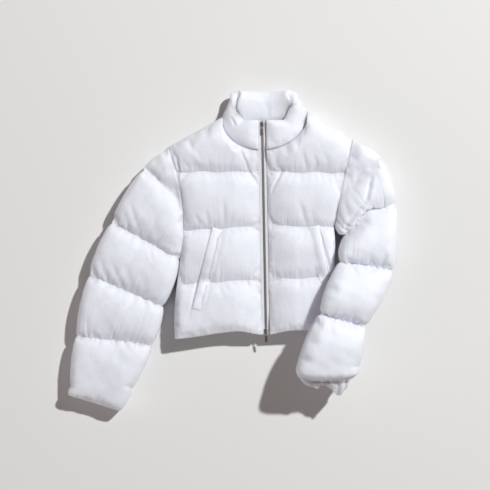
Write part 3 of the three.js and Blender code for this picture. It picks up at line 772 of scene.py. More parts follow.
    def channel(self, t: np.ndarray, crest: float) -> np.ndarray:
        """Fullness along the body: a loft in each channel, held up at the hem and the shoulder.

        Args:
            t: Row place.
            crest: Full height of a channel.

        Returns:
            Height in millimetres, before the edges are rolled down.
        """
        k = np.clip(np.floor(t), 0, self.top - 1)
        u = t - k
        u = np.where(k == 0, np.maximum(u, 0.5), np.where(k == self.yoke, np.minimum(u, 0.5), u))
        return lerp(self.stitch, crest, loft(u))

    def armhole(self, v: np.ndarray) -> np.ndarray:
        """Half thickness where a sleeve is sewn on, thin at the underarm and the shoulder."""
        return lerp(self.edge, self.armhole_level, np.sqrt(np.clip(1 - np.abs(2 * v - 1) ** 3, 0, 1)))

    def near_neck(self, t: np.ndarray, into_neck: np.ndarray) -> np.ndarray:
        """How near a place is to the neck opening, from 0 to 1."""
        return ease(self.yoke + 0.3, self.top, t) * ease(-0.12, 0.1, into_neck)

    def height(self, t: np.ndarray, crest: float, edges: dict[str, np.ndarray]) -> np.ndarray:
        """Height of a layer over the middle plane: its channels, rolled down at each edge.

        Args:
            t: Row place.
            crest: Full height of a channel.
            edges: Distance to the side, zip, hem and top, and how far a place lies into the neck.

        Returns:
            Height in millimetres.
        """
        up_armhole = (t - self.underarm) / (self.top - self.underarm)
        side_level = np.where(t <= self.underarm, self.side_level, self.armhole(up_armhole))
        channel = self.channel(t, crest)
        rise = np.where(
            t < self.underarm,
            rounding(edges["side"], self.side_roll),
            ease(-4, self.armhole_roll, edges["side"]),
        )
        h = lerp(np.minimum(side_level, channel), channel, rise)
        h = lerp(np.minimum(h, self.zip_level), h, ease(-4, self.zip_roll, edges["zip"]))
        h = lerp(np.minimum(h, self.hem_level), h, rounding(edges["hem"], self.hem_roll))
        level = lerp(self.edge, self.neck_level, ease(-0.04, 0.06, edges["neck"]))
        return lerp(np.minimum(h, level), h, rounding(edges["top"], self.top_roll))


CUT = Cut()


def apart(p: np.ndarray, q: np.ndarray) -> np.ndarray:
    """Distance between places seen from above."""
    return np.linalg.norm(p - q, axis=-1)


# Finishes


def shader_node(tree: bpy.types.NodeTree, kind: str, **inputs: object) -> bpy.types.Node:
    """Adds a shader node and sets its inputs, named with underscores for spaces.

    Args:
        tree: The node tree.
        kind: The node's type.
        **inputs: Value of each input.

    Returns:
        The new node.
    """
    node = tree.nodes.new(kind)
    for name, value in inputs.items():
        node.inputs[name.replace("_", " ")].default_value = value
    return node


def relief_group(name: str, make: Maker) -> bpy.types.NodeTree:
    """A shader node group that takes a position and gives a height.

    Args:
        name: The group's name.
        make: Builds the inside from the tree and its input node, and returns the height's socket.

    Returns:
        The new group.
    """
    tree = bpy.data.node_groups.new(name, "ShaderNodeTree")
    tree.interface.new_socket("Position", in_out="INPUT", socket_type="NodeSocketVector")
    tree.interface.new_socket("Height", in_out="OUTPUT", socket_type="NodeSocketFloat")
    start = tree.nodes.new("NodeGroupInput")
    end = tree.nodes.new("NodeGroupOutput")
    tree.links.new(make(tree, start.outputs["Position"]), end.inputs["Height"])
    return tree


def combine(tree: bpy.types.NodeTree, kind: str, a: bpy.types.NodeSocket, b: object) -> bpy.types.NodeSocket:
    """A math node of that kind on two sockets, or on a socket and a number.

    Args:
        tree: The node tree.
        kind: The operation.
        a: The first socket.
        b: The second socket or a number.

    Returns:
        The socket with the outcome.
    """
    node = tree.nodes.new("ShaderNodeMath")
    node.operation = kind
    tree.links.new(a, node.inputs[0])
    if isinstance(b, (int, float)):
        node.inputs[1].default_value = b
    else:
        tree.links.new(b, node.inputs[1])
    return node.outputs["Value"]


def crinkle(tree: bpy.types.NodeTree, position: bpy.types.NodeSocket) -> bpy.types.NodeSocket:
    """Crinkled light nylon: two sizes of smooth noise, the finer one stretched along Y.

    Args:
        tree: The group's tree.
        position: Place on the cloth.

    Returns:
        The height's socket.
    """
    coarse = shader_node(tree, "ShaderNodeTexNoise", Scale=38.0, Detail=2.0, Roughness=0.5)
    stretch = shader_node(tree, "ShaderNodeMapping")
    stretch.inputs["Scale"].default_value = (1.6, 0.6, 1.0)
    fine = shader_node(tree, "ShaderNodeTexNoise", Scale=150.0, Detail=2.0, Roughness=0.55)
    tree.links.new(position, coarse.inputs["Vector"])
    tree.links.new(position, stretch.inputs["Vector"])
    tree.links.new(stretch.outputs["Vector"], fine.inputs["Vector"])
    return combine(tree, "ADD", combine(tree, "MULTIPLY", fine.outputs["Fac"], 0.45), coarse.outputs["Fac"])


def weave(tree: bpy.types.NodeTree, position: bpy.types.NodeSocket) -> bpy.types.NodeSocket:
    """Plain weave: the product of two crossed sine bands, one for warp and one for weft.

    Args:
        tree: The group's tree.
        position: Place on the cloth.

    Returns:
        The height's socket.
    """
    bands = []
    for axis in ("X", "Y"):
        band = shader_node(tree, "ShaderNodeTexWave", Scale=650.0, Distortion=0.6, Detail=1.0)
        band.bands_direction = axis
        tree.links.new(position, band.inputs["Vector"])
        bands.append(band.outputs["Fac"])
    return combine(tree, "MULTIPLY", bands[0], bands[1])


@dataclass(frozen=True)
class ClothFinish:
    """Woven cloth: its colour, gloss, crinkle and weave."""

    name: str
    color: tuple[float, float, float, float]
    shade: tuple[float, float, float, float]
    roughness: float
    sheen: float
    crinkle: float
    weave: float
    soft: float

    def material(self, groups: dict[str, bpy.types.NodeTree]) -> bpy.types.Material:
        """Makes the material: a colour that varies softly, with crinkle and weave as bumps.

        Args:
            groups: The shared node groups by name.

        Returns:
            The new material.
        """
        material = bpy.data.materials.new(self.name)
        material.use_nodes = True
        tree = material.node_tree
        shader = tree.nodes["Principled BSDF"]
        place = tree.nodes.new("ShaderNodeTexCoord").outputs["Object"]
        cloud = shader_node(tree, "ShaderNodeTexNoise", Scale=9.0, Detail=2.0)
        tint = tree.nodes.new("ShaderNodeMix")
        tint.data_type = "RGBA"
        tint.inputs["A"].default_value = self.color
        tint.inputs["B"].default_value = self.shade
        tree.links.new(place, cloud.inputs["Vector"])
        tree.links.new(cloud.outputs["Fac"], tint.inputs["Factor"])
        tree.links.new(tint.outputs["Result"], shader.inputs["Base Color"])
        shader.inputs["Roughness"].default_value = self.roughness
        shader.inputs["Sheen Weight"].default_value = self.sheen
        shader.inputs["Sheen Roughness"].default_value = 0.4
        shader.inputs["Specular IOR Level"].default_value = 0.35
        if self.soft:
            shader.inputs["Subsurface Weight"].default_value = self.soft
            shader.inputs["Subsurface Radius"].default_value = (1.0, 1.0, 1.0)
            shader.inputs["Subsurface Scale"].default_value = 0.02
        normal = None
        for group, depth in (("crinkle", self.crinkle), ("weave", self.weave)):
            if not depth:
                continue
            height = tree.nodes.new("ShaderNodeGroup")
            height.node_tree = groups[group]
            bump = shader_node(tree, "ShaderNodeBump", Strength=1.0, Distance=depth)
            tree.links.new(place, height.inputs["Position"])
            tree.links.new(height.outputs["Height"], bump.inputs["Height"])
            if normal is not None:
                tree.links.new(normal, bump.inputs["Normal"])
            normal = bump.outputs["Normal"]
        if normal is not None:
            tree.links.new(normal, shader.inputs["Normal"])
        return material


@dataclass(frozen=True)
class MetalFinish:
    """Dull plated metal, a little scratched."""

    name: str
    color: tuple[float, float, float, float]
    roughness: float

    def material(self) -> bpy.types.Material:
        """Makes the material: metal with a noise in its roughness.

        Returns:
            The new material.
        """
        material = bpy.data.materials.new(self.name)
        material.use_nodes = True
        tree = material.node_tree
        shader = tree.nodes["Principled BSDF"]
        shader.inputs["Base Color"].default_value = self.color
        shader.inputs["Metallic"].default_value = 1.0
        place = tree.nodes.new("ShaderNodeTexCoord").outputs["Object"]
        grain = shader_node(tree, "ShaderNodeTexNoise", Scale=900.0, Detail=2.0)
        tree.links.new(place, grain.inputs["Vector"])
        spread = tree.nodes.new("ShaderNodeMapRange")
        spread.inputs["To Min"].default_value = self.roughness - 0.08
        spread.inputs["To Max"].default_value = self.roughness + 0.12
        tree.links.new(grain.outputs["Fac"], spread.inputs["Value"])
        tree.links.new(spread.outputs["Result"], shader.inputs["Roughness"])
        return material


@dataclass
class Finishes:
    """Every material of the jacket, made once."""

    shell: bpy.types.Material = field(init=False)
    welt: bpy.types.Material = field(init=False)
    tape: bpy.types.Material = field(init=False)
    thread: bpy.types.Material = field(init=False)
    metal: bpy.types.Material = field(init=False)
    nickel: bpy.types.Material = field(init=False)

    def __post_init__(self) -> None:
        """Builds the shared groups and then the materials."""
        groups = {"crinkle": relief_group("crinkle", crinkle), "weave": relief_group("weave", weave)}
        self.shell = ClothFinish(
            "shell_nylon", (0.85, 0.865, 0.93, 1), (0.83, 0.84, 0.92, 1), 0.5, 0.2, 0.0014, 0.00008, 0.8
        ).material(groups)
        self.welt = ClothFinish(
            "welt_nylon", (0.85, 0.865, 0.93, 1), (0.83, 0.84, 0.92, 1), 0.5, 0.2, 0.0011, 0.00008, 0
        ).material(groups)
        self.tape = ClothFinish(
            "zip_tape_twill", (0.85, 0.85, 0.88, 1), (0.8, 0.8, 0.84, 1), 0.8, 0.1, 0, 0.0002, 0
        ).material(groups)
        self.thread = ClothFinish(
            "sewing_thread", (0.82, 0.82, 0.86, 1), (0.76, 0.76, 0.82, 1), 0.6, 0.1, 0, 0.0001, 0
        ).material(groups)
        self.metal = MetalFinish("slider_metal", (0.3, 0.28, 0.25, 1), 0.36).material()
        self.nickel = MetalFinish("teeth_nickel", (0.52, 0.5, 0.48, 1), 0.45).material()


def finish_piece(
    piece: bpy.types.Object,
    material: bpy.types.Material,
    nodes: tuple[str, ...] = (),
    body: str = BODY,
) -> None:
    """Gives a piece its material, its body and the frame nodes that it stands for.

    Args:
        piece: The new piece.
        material: Its finish.
        nodes: The frame's nodes that it replaces.
        body: The frame's body that carries it.
    """
    piece.data.materials.clear()
    piece.data.materials.append(material)
    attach(piece, body)
    if nodes:
        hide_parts(*nodes)
    log.info("%s: %d faces", piece.name, len(piece.data.polygons))


# Padded cloth


@dataclass
class FrontPanel:
    """One front: four filled channels between side seam and zip."""

    side: Side
    finishes: Finishes
    row_steps: int = 64
    columns: int = 119
    seed: int = 11
    folds: tuple[Fold, ...] = ()
    quilt_gap: float = 130.0
    surface: Surface = field(init=False)

    def from_seam(self, t: np.ndarray) -> np.ndarray:
        """Distance to the nearest quilt line."""
        return np.abs(t - np.round(t)) * self.quilt_gap

    def relief(self, t: np.ndarray, plan: np.ndarray, edges: dict[str, np.ndarray]) -> np.ndarray:
        """Uneven filling, gathers at the quilt lines, puckers at the hem and the zip, and the folds.

        Args:
            t: Row place of each point.
            plan: The panel seen from above.
            edges: Distance to the side, zip, hem and top.

        Returns:
            Added height in millimetres, nothing at the borders.
        """
        x, y, seed = plan[..., 0], plan[..., 1], self.seed
        filling = 1.5 * waves(x, y * 1.2, seed, 100) + 0.6 * waves(x, y, seed + 5, 45)
        total = rounding(self.from_seam(t), 30) * filling
        for line in (1, 2, 3):
            total += gathers(x, (t - line) * CHANNEL, seed + 10 * line, 12, (26, 9), (3.4, 1.6))
        total += 2.4 * puckers(x, edges["hem"], seed + 71, 12, 17)
        total += 1.6 * puckers(y, edges["zip"], seed + 72, 14, 12)
        border = np.minimum.reduce([edges["side"], edges["zip"], edges["hem"], edges["top"]])
        return rounding(border, 14) * (total + folded(self.folds, x, y))

    def edges(self, t: np.ndarray, s: np.ndarray, plan: np.ndarray) -> dict[str, np.ndarray]:
        """Distances from each place to the panel's borders.

        Args:
            t, s: Row place, and place from the side seam to the zip.
            plan: The panel seen from above.

        Returns:
            Distances in millimetres by border. At the neck it is how far a place lies into it, in s.
        """
        return {
            "side": apart(plan, CUT.side(self.side, t)),
            "zip": np.abs(plan[..., 0] - CUT.zip_x(plan[..., 1])) - CUT.zip_opening,
            "hem": apart(plan, CUT.front(self.side, np.zeros_like(t), s)),
            "top": apart(plan, CUT.front_top(self.side, s)),
            "neck": s - CUT.neck_share,
        }

    def build(self) -> bpy.types.Object:
        """Builds the panel: an upper grid that the cloth's settling moves, over a plain lower grid.

        Returns:
            The new piece.
        """
        rows = channel_rows([self.row_steps] * CUT.top)
        u = np.linspace(0, 1, self.columns)
        t, s = np.meshgrid(rows, 0.6 * u + 0.4 * (1 - np.cos(np.pi * u)) / 2, indexing="ij")
        plan = CUT.front(self.side, t, s)
        inner = (t > 0.5) & (t < 3.5)
        sway = 1.6 * drift(plan[..., 0], self.seed + 60, 70) * np.exp(-self.from_seam(t) / 18)
        plan[..., 1] += inner * sway * rounding(s, 0.2)
        edges = self.edges(t, s, plan)
        base = CUT.middle + CUT.layer_gap + CUT.neck_lift * CUT.near_neck(t, edges["neck"] - 0.1)
        height = CUT.height(t, CUT.crest, edges) + self.relief(t, plan, edges)
        upper = np.concatenate([plan, (base + height)[..., None]], axis=-1)
        pinned = np.isin(rows, (0, 1, 2, 3, 4))[:, None] | (s == 0) | (s == 1)
        upper += finer(Settling().moves(upper[::2, ::2], pinned[::2, ::2]), False)
        upper[..., 2] = np.maximum(upper[..., 2], base + 1.2)
        lower = np.concatenate([plan, base[..., None]], axis=-1)
        self.surface = Surface(rows, s[0], upper)
        points = np.concatenate([upper.reshape(-1, 3), lower.reshape(-1, 3)])
        piece = mesh_object(f"front_{self.side.word}_padding", points, shell_quads(*t.shape))
        finish_piece(piece, self.finishes.shell, (f"front_{self.side.word}",))
        return piece


@dataclass
class BackPanel:
    """The back: four filled channels from side to side, flat below where it rests."""

    finishes: Finishes
    row_steps: int = 26
    columns: int = 150
    seed: int = 47

    def relief(self, t: np.ndarray, plan: np.ndarray, edges: dict[str, np.ndarray]) -> np.ndarray:
        """Puckers at the quilt lines and edges, and the uneven filling between them.

        Args:
            t: Row place of each point.
            plan: The panel seen from above.
            edges: Distance to the side, hem and top.

        Returns:
            Added height in millimetres, nothing at the borders.
        """
        x, y, seed = plan[..., 0], plan[..., 1], self.seed
        total = np.zeros(t.shape)
        for line in (1, 2, 3):
            total += gathers(x, (t - line) * CHANNEL, seed + 10 * line, 19, (24, 15), (6, 4))
        total += 4.5 * puckers(x, edges["hem"], seed + 71, 15, 20)
        total += 4.5 * puckers(y, edges["side"], seed + 73, 20, 22)
        total += 3.5 * puckers(x * 0.8 + y * 0.6, edges["top"], seed + 74, 18, 18)
        away = np.abs(t - np.round(t)) * CHANNEL
        calm = rounding(away, 40) * rounding(edges["side"], 50) * rounding(edges["hem"], 30)
        total += calm * (1.7 * waves(x, y * 1.3, seed, 95) + 0.8 * waves(x, y, seed + 5, 42))
        border = np.minimum.reduce([edges["side"], edges["hem"], edges["top"]])
        return total * rounding(border, 12)

    def front_hem(self) -> tuple[np.ndarray, np.ndarray]:
        """The fronts' hem from side to side, so that the back's hem can be tucked behind it.

        Returns:
            The X and the Y of its places, in millimetres.
        """
        share = np.linspace(0, 1, 60)
        left = CUT.front(Side.LEFT, np.zeros(60), share)
        right = CUT.front(Side.RIGHT, np.zeros(60), share)[::-1]
        hem = np.concatenate([left, right])
        return hem[:, 0], hem[:, 1]

    def build(self) -> bpy.types.Object:
        """Builds the panel: a plain upper grid over a lower grid that the surface flattens.

        Returns:
            The new piece.
        """
        rows = channel_rows([self.row_steps] * CUT.top)
        cols = (1 - np.cos(np.pi * np.linspace(0, 1, self.columns))) / 2
        t, s = np.meshgrid(rows, cols, indexing="ij")
        plan = CUT.back(t, s)
        hem_x, hem_y = self.front_hem()
        front_y = np.interp(plan[..., 0], hem_x, hem_y)
        back_y = np.interp(plan[..., 0], plan[0, :, 0], plan[0, :, 1])
        tuck = np.maximum(0, front_y + 4 - back_y)
        plan[..., 1] += tuck * np.clip(1 - t, 0, 1) ** 2 * rounding(np.minimum(s, 1 - s), 0.06)
        share = CUT.neck_share_back
        edges = {
            "side": np.minimum(apart(plan, CUT.side(Side.LEFT, t)), apart(plan, CUT.side(Side.RIGHT, t))),
            "zip": np.full(t.shape, FAR),
            "hem": apart(plan, CUT.back(np.zeros_like(t), s)),
            "top": apart(plan, CUT.back_top(s)),
            "neck": np.minimum(s - share, 1 - share - s),
        }
        base = CUT.middle - CUT.layer_gap - CUT.neck_lift * CUT.near_neck(t, edges["neck"])
        height = CUT.height(t, CUT.back_crest, edges)
        height = np.maximum(height + self.relief(t, plan, edges), 1.5)
        upper = np.concatenate([plan, base[..., None]], axis=-1)
        lower = np.concatenate([plan, np.maximum(base - height, 0)[..., None]], axis=-1)
        points = np.concatenate([upper.reshape(-1, 3), lower.reshape(-1, 3)])
        piece = mesh_object("back_padding", points, shell_quads(*t.shape))
        finish_piece(piece, self.finishes.shell, ("back",))
        return piece


@dataclass(frozen=True)
class SleeveRow:
    """A section of a sleeve: its outer and underarm edges, its half thickness, and whether it is quilted."""

    outer: tuple[float, float, float]
    inner: tuple[float, float, float]
    half: float
    stitched: bool = True


@dataclass(frozen=True)
class Bend:
    """Where a quilt ring curves along the sleeve, or a cuff's border has a lobe: how far and how wide."""

    row: float
    place: float
    width: float
    rise: float
    along: float = 0.6

    def shift(self, t: np.ndarray, s: np.ndarray) -> np.ndarray:
        """Shift along Y: a bell in the row place times a bell across the sleeve."""
        away = ((t - self.row) / self.along) ** 2 + ((s - self.place) / self.width) ** 2
        return self.rise * np.exp(-away)


@dataclass
class Sleeve:
    """A sleeve of five filled channels round a thin hollow, from armhole to cuff."""

    side: Side
    lie: Lie
    finishes: Finishes
    rows: tuple[SleeveRow, ...]
    cap: tuple[tuple[float, float], tuple[float, float]]
    folds: tuple[Fold, ...] = ()
    bends: tuple[Bend, ...] = ()
    gather: float = 2.5
    gather_reach: float = 16.0
    cuff: float = 0.0
    surplus: float = 0.09
    lean: float = 0.0
    edge_roll: float = 20.0
    seed: int = 5
    wall: float = 16.0
    slit: float = 1.2
    seam_gap: float = 0.35
    edge_bulge: float = 4.0
    around: int = 88
    row_pitch: float = 2.5
    quilt_gap: float = 130.0
    row_gap: float = 60.0
    surface: Surface = field(init=False)

    def column(self, part: str, axis: int, t: np.ndarray) -> np.ndarray:
        """One coordinate of an edge at any row place, straight between rows."""
        return np.interp(t, np.arange(len(self.rows)), [getattr(row, part)[axis] for row in self.rows])

    def plan(self, t: np.ndarray, s: np.ndarray) -> np.ndarray:
        """The sleeve seen from above: straight across each row, and fitted to the armhole at its top.

        Args:
            t, s: Row place from the armhole to the cuff, and place from the outer edge to the underarm's.

        Returns:
            Places seen from above, in millimetres.
        """
        outer = np.stack([self.column("outer", 0, t), self.column("outer", 1, t)], axis=-1)
        inner = np.stack([self.column("inner", 0, t), self.column("inner", 1, t)], axis=-1)
        u = t - np.floor(t)
        bulge = np.where(t < 1, 0, self.edge_bulge * 4 * u * (1 - u) * (2 * s - 1) / apart(outer, inner))
        p = lerp(outer, inner, (s + bulge)[..., None])
        p[..., 0] += self.side.value * self.seam_gap
        seam = CUT.side(self.side, lerp(CUT.top, CUT.underarm, s))
        underarm = CUT.side(self.side, np.array(float(CUT.underarm)))
        ends = lerp(CUT.shoulder(self.side), underarm, s[..., None])
        p += (seam - ends) * (np.clip(1 - t, 0, 1) ** 1.5)[..., None]
        for bend in self.bends:
            p[..., 1] += bend.shift(t, s)
        return p

    def level(self, values: list[float], t: np.ndarray) -> np.ndarray:
        """A row's value at any row place: straight between rows, averaged over seven tenths of a row."""
        places = np.arange(len(values))
        return sum(np.interp(t + shift, places, values) for shift in np.linspace(-0.35, 0.35, 7)) / 7

    def centre(self, t: np.ndarray, s: np.ndarray) -> np.ndarray:
        """Height of the sleeve's middle."""
        outer, inner = [row.outer[2] for row in self.rows], [row.inner[2] for row in self.rows]
        return lerp(self.level(outer, t), self.level(inner, t), s)

    def from_line(self, p: np.ndarray, a: tuple[float, ...], b: tuple[float, ...]) -> np.ndarray:
        """Signed distance of places from the line through a and b."""
        dx, dy = b[0] - a[0], b[1] - a[1]
        return (dx * (p[..., 1] - a[1]) - dy * (p[..., 0] - a[0])) / math.hypot(dx, dy)

    def channel(self, t: np.ndarray, s: np.ndarray, crest: np.ndarray) -> tuple[np.ndarray, np.ndarray]:
        """Filled half thickness, and the distance to the nearest quilt line.

        Args:
            t, s: Row place and place across the sleeve.
            crest: Half thickness of a full channel.

        Returns:
            Half thickness and distance, in millimetres.
        """
        stitched = [n for n, row in enumerate(self.rows) if row.stitched]
        rings = np.array(stitched[1:], float)
        k = np.clip(np.searchsorted(rings, t, side="right") - 1, 0, len(rings) - 2)
        places, lengths = np.arange(len(self.rows)), self.lengths()
        here, start, end = (np.interp(place, places, lengths) for place in (t, rings[k], rings[k + 1]))
        u = (here - start) / (end - start)
        last = k == len(rings) - 2
        full = lerp(CUT.stitch, crest, loft(np.where(last, np.minimum(u, 0.5), u)))
        away = np.where(last, u, np.minimum(u, 1 - u)) * self.quilt_gap
        p = self.plan(t, s)
        turn = -self.side.value
        ring, arm = self.rows[stitched[1]], self.rows[0]
        to_cap = -turn * self.from_line(p, *self.cap)
        to_ring = turn * self.from_line(p, ring.outer, ring.inner)
        to_arm = np.abs(self.from_line(p, arm.outer, arm.inner))
        in_cap = to_cap < 0
        span = np.maximum(np.where(in_cap, to_arm - to_cap, to_cap + np.maximum(0, to_ring)), 1e-3)
        share = np.where(in_cap, to_arm, to_cap) / span
        narrow = np.minimum(1, span / 110) ** 0.7
        cap = lerp(CUT.stitch, crest, loft(share) * narrow)
        cap = lerp(CUT.stitch, cap, rounding(to_arm, 30))
        upper = t < rings[0]
        cap_away = np.minimum(np.abs(to_cap), np.where(in_cap, to_arm, np.maximum(0, to_ring)))
        return np.where(upper, cap, full), np.where(upper, cap_away, away)

    def half(self, t: np.ndarray, s: np.ndarray, limit: np.ndarray) -> np.ndarray:
        """Half thickness with its edges, its cuff and its armhole brought in.

        Args:
            t, s: Row place and place across the sleeve.
            limit: Half thickness of a full channel, for the upper or the lower face.

        Returns:
            Half thickness in millimetres.
        """
        last = float(len(self.rows) - 1)
        across = apart(self.plan(t, np.zeros_like(s)), self.plan(t, np.ones_like(s)))
        h, _ = self.channel(t, s, limit)
        middle = np.full_like(s, 0.5)
        to_end = apart(self.plan(t, middle), self.plan(np.full_like(t, last), middle))
        h = lerp(np.minimum(h, 14), h, rounding(np.maximum(to_end - self.cuff, 0), 18))
        reach = np.minimum(across / 2, self.edge_roll)
        h = lerp(CUT.side_level, h, rounding(np.minimum(s, 1 - s) * across, reach))
        return np.where(t < 1, lerp(CUT.armhole(1 - s), h, ease(0, 0.35, t)), h)

    def lengths(self) -> np.ndarray:
        """Distance of each row from the armhole, measured along the sleeve."""
        edges = np.array([[row.outer, row.inner] for row in self.rows])
        return np.append(0, np.linalg.norm(np.diff(edges, axis=0), axis=-1).mean(axis=1).cumsum())

    def steps(self) -> list[int]:
        """Number of grid rows between each row and the next, even and in keeping with the cloth's length."""
        return [max(8, 2 * round(length / (2 * self.row_pitch))) for length in np.diff(self.lengths())]

    def rings(self) -> list[int]:
        """Rows of the quilt rings between the armhole and the cuff."""
        return [n for n, row in enumerate(self.rows) if row.stitched and 0 < n < len(self.rows) - 1]

    def ring_gathers(self, t: np.ndarray, s: np.ndarray, plan: np.ndarray, seed: int) -> np.ndarray:
        """Creases that cross the quilt rings, longer on the shoulder's side of each.

        Args:
            t, s: Row place and place across the sleeve.
            plan: The sleeve seen from above.
            seed: Picks the spacing.

        Returns:
            Added height in millimetres.
        """
        total = np.zeros(t.shape)
        for ring in self.rings():
            past = apart(plan, self.plan(np.full_like(t, ring), s)) * np.where(t < ring, 1, -1)
            along = s * SLEEVE_WIDTH + 300 * ring
            total += gathers(along, past, seed + 60 + ring, 12.5, (34, 12), (6.0, 3.2))
        return total

    def skin(self, t: np.ndarray, s: np.ndarray, under: np.ndarray) -> np.ndarray:
        """The filled skin before the cloth settles.

        Args:
            t, s: Row place and place across the sleeve.
            under: True on the underside.

        Returns:
            Points in millimetres.
        """
        last = float(len(self.rows) - 1)
        crest = self.level([row.half for row in self.rows], t)
        limit = np.where(under & (self.lie is Lie.RESTING), CUT.back_crest, crest)
        plan, centre = self.plan(t, s), self.centre(t, s)
        x, y = plan[..., 0], plan[..., 1]
        edge = np.minimum(s, 1 - s) * apart(self.plan(t, np.zeros_like(s)), self.plan(t, np.ones_like(s)))
        _, away = self.channel(t, s, limit)
        seed = self.seed + 500 * under[0, -1]
        calm = rounding(away, 40) * rounding(edge, 40)
        relief = calm * (1.6 * waves(x, y * 1.2, seed, 90) + 0.7 * waves(x, y, seed + 5, 40))
        relief += np.where(under, 0, folded(self.folds, x, y) * rounding(edge, 14) * rounding(t, 0.2))
        relief += self.ring_gathers(t, s, plan, seed)
        lean = self.lean * (1 - s) ** 1.5 * ease(0.1, 0.6, t) * ease(3.1, 1.8, t) * rounding(edge, 20)
        relief -= np.where(under, 0, lean)
        to_end = (last - t) * self.row_gap
        mouth = puckers(s * SLEEVE_WIDTH, to_end, seed + 40, 11, self.gather_reach)
        relief += self.gather * mouth * ease(0, 5, to_end)
        half = np.maximum(self.half(t, s, limit) + relief, 1.5)
        for ring in self.rings():
            near = np.exp(-apart(plan, self.plan(np.full_like(t, ring), s)) / 9) * rounding(edge, 12)
            plan[..., 1] += 1.9 * drift(s * SLEEVE_WIDTH + 97 * ring, self.seed + 30 + ring, 15) * near
        z = np.maximum(centre + np.where(under, -half, half), 0)
        return np.concatenate([plan, z[..., None]], axis=-1)

    def sewn(self, t: np.ndarray, s: np.ndarray) -> np.ndarray:
        """True on the quilt rings, on the cap's quilt line and at both mouths.

        Args:
            t, s: Row place and place across the sleeve.

        Returns:
            An array of the same shape.
        """
        rings = [n for n, row in enumerate(self.rows) if row.stitched]
        plan = self.plan(t, s)
        on_cap = (t > 0) & (t < 2) & (np.abs(self.from_line(plan, *self.cap)) < 2.2)
        return np.isin(t, rings) | (t == len(self.rows) - 1) | on_cap

    def build(self) -> bpy.types.Object:
        """Builds the sleeve: an outer skin that settles round a plain lining, joined at both mouths.

        Returns:
            The new piece.
        """
        last = len(self.rows) - 1
        rows = channel_rows(self.steps())
        u = np.linspace(0, 1, self.around)
        cols = 0.5 * u + 0.5 * (1 - np.cos(np.pi * u)) / 2
        t, s = np.meshgrid(rows, np.concatenate([cols, cols[::-1]]), indexing="ij")
        under = np.zeros(t.shape, bool)
        under[:, self.around :] = True
        outer = self.skin(t, s, under)
        pinned = self.sewn(t, s) | (outer[..., 2] < 0.5)
        outer += finer(Settling(surplus=self.surplus).moves(outer[::2, ::2], pinned[::2, ::2], True), True)
        outer[..., 2] = np.maximum(outer[..., 2], 0)
        self.surface = Surface(rows, cols, outer[:, : self.around])
        inner_rows = np.linspace(0, last, 3 * last + 1)
        t, s = np.meshgrid(inner_rows, s[0], indexing="ij")
        inset = self.wall / apart(self.plan(t, np.zeros_like(s)), self.plan(t, np.ones_like(s)))
        inner_s = lerp(inset, 1 - inset, s)
        slit = np.where(np.arange(s.shape[1]) < self.around, self.slit, -self.slit)
        inner = np.concatenate([self.plan(t, inner_s), (self.centre(t, inner_s) + slit)[..., None]], axis=-1)
        rows_count, count = outer.shape[:2]
        first = rows_count * count
        outer_number = np.arange(first).reshape(rows_count, count)
        inner_number = np.arange(first, first + t.size).reshape(t.shape)
        quads = np.concatenate(
            [
                grid_quads(rows_count, count, 0, True),
                grid_quads(len(inner_rows), count, first, True)[:, ::-1],
                rim_quads(outer_number[0], inner_number[0], True)[:, ::-1],
                rim_quads(outer_number[-1], inner_number[-1], True),
            ]
        )
        points = np.concatenate([outer.reshape(-1, 3), inner.reshape(-1, 3)])
        piece = mesh_object(f"sleeve_{self.side.word}_padding", points, quads)
        finish_piece(piece, self.finishes.shell, (f"sleeve_{self.side.word}",))
        return piece


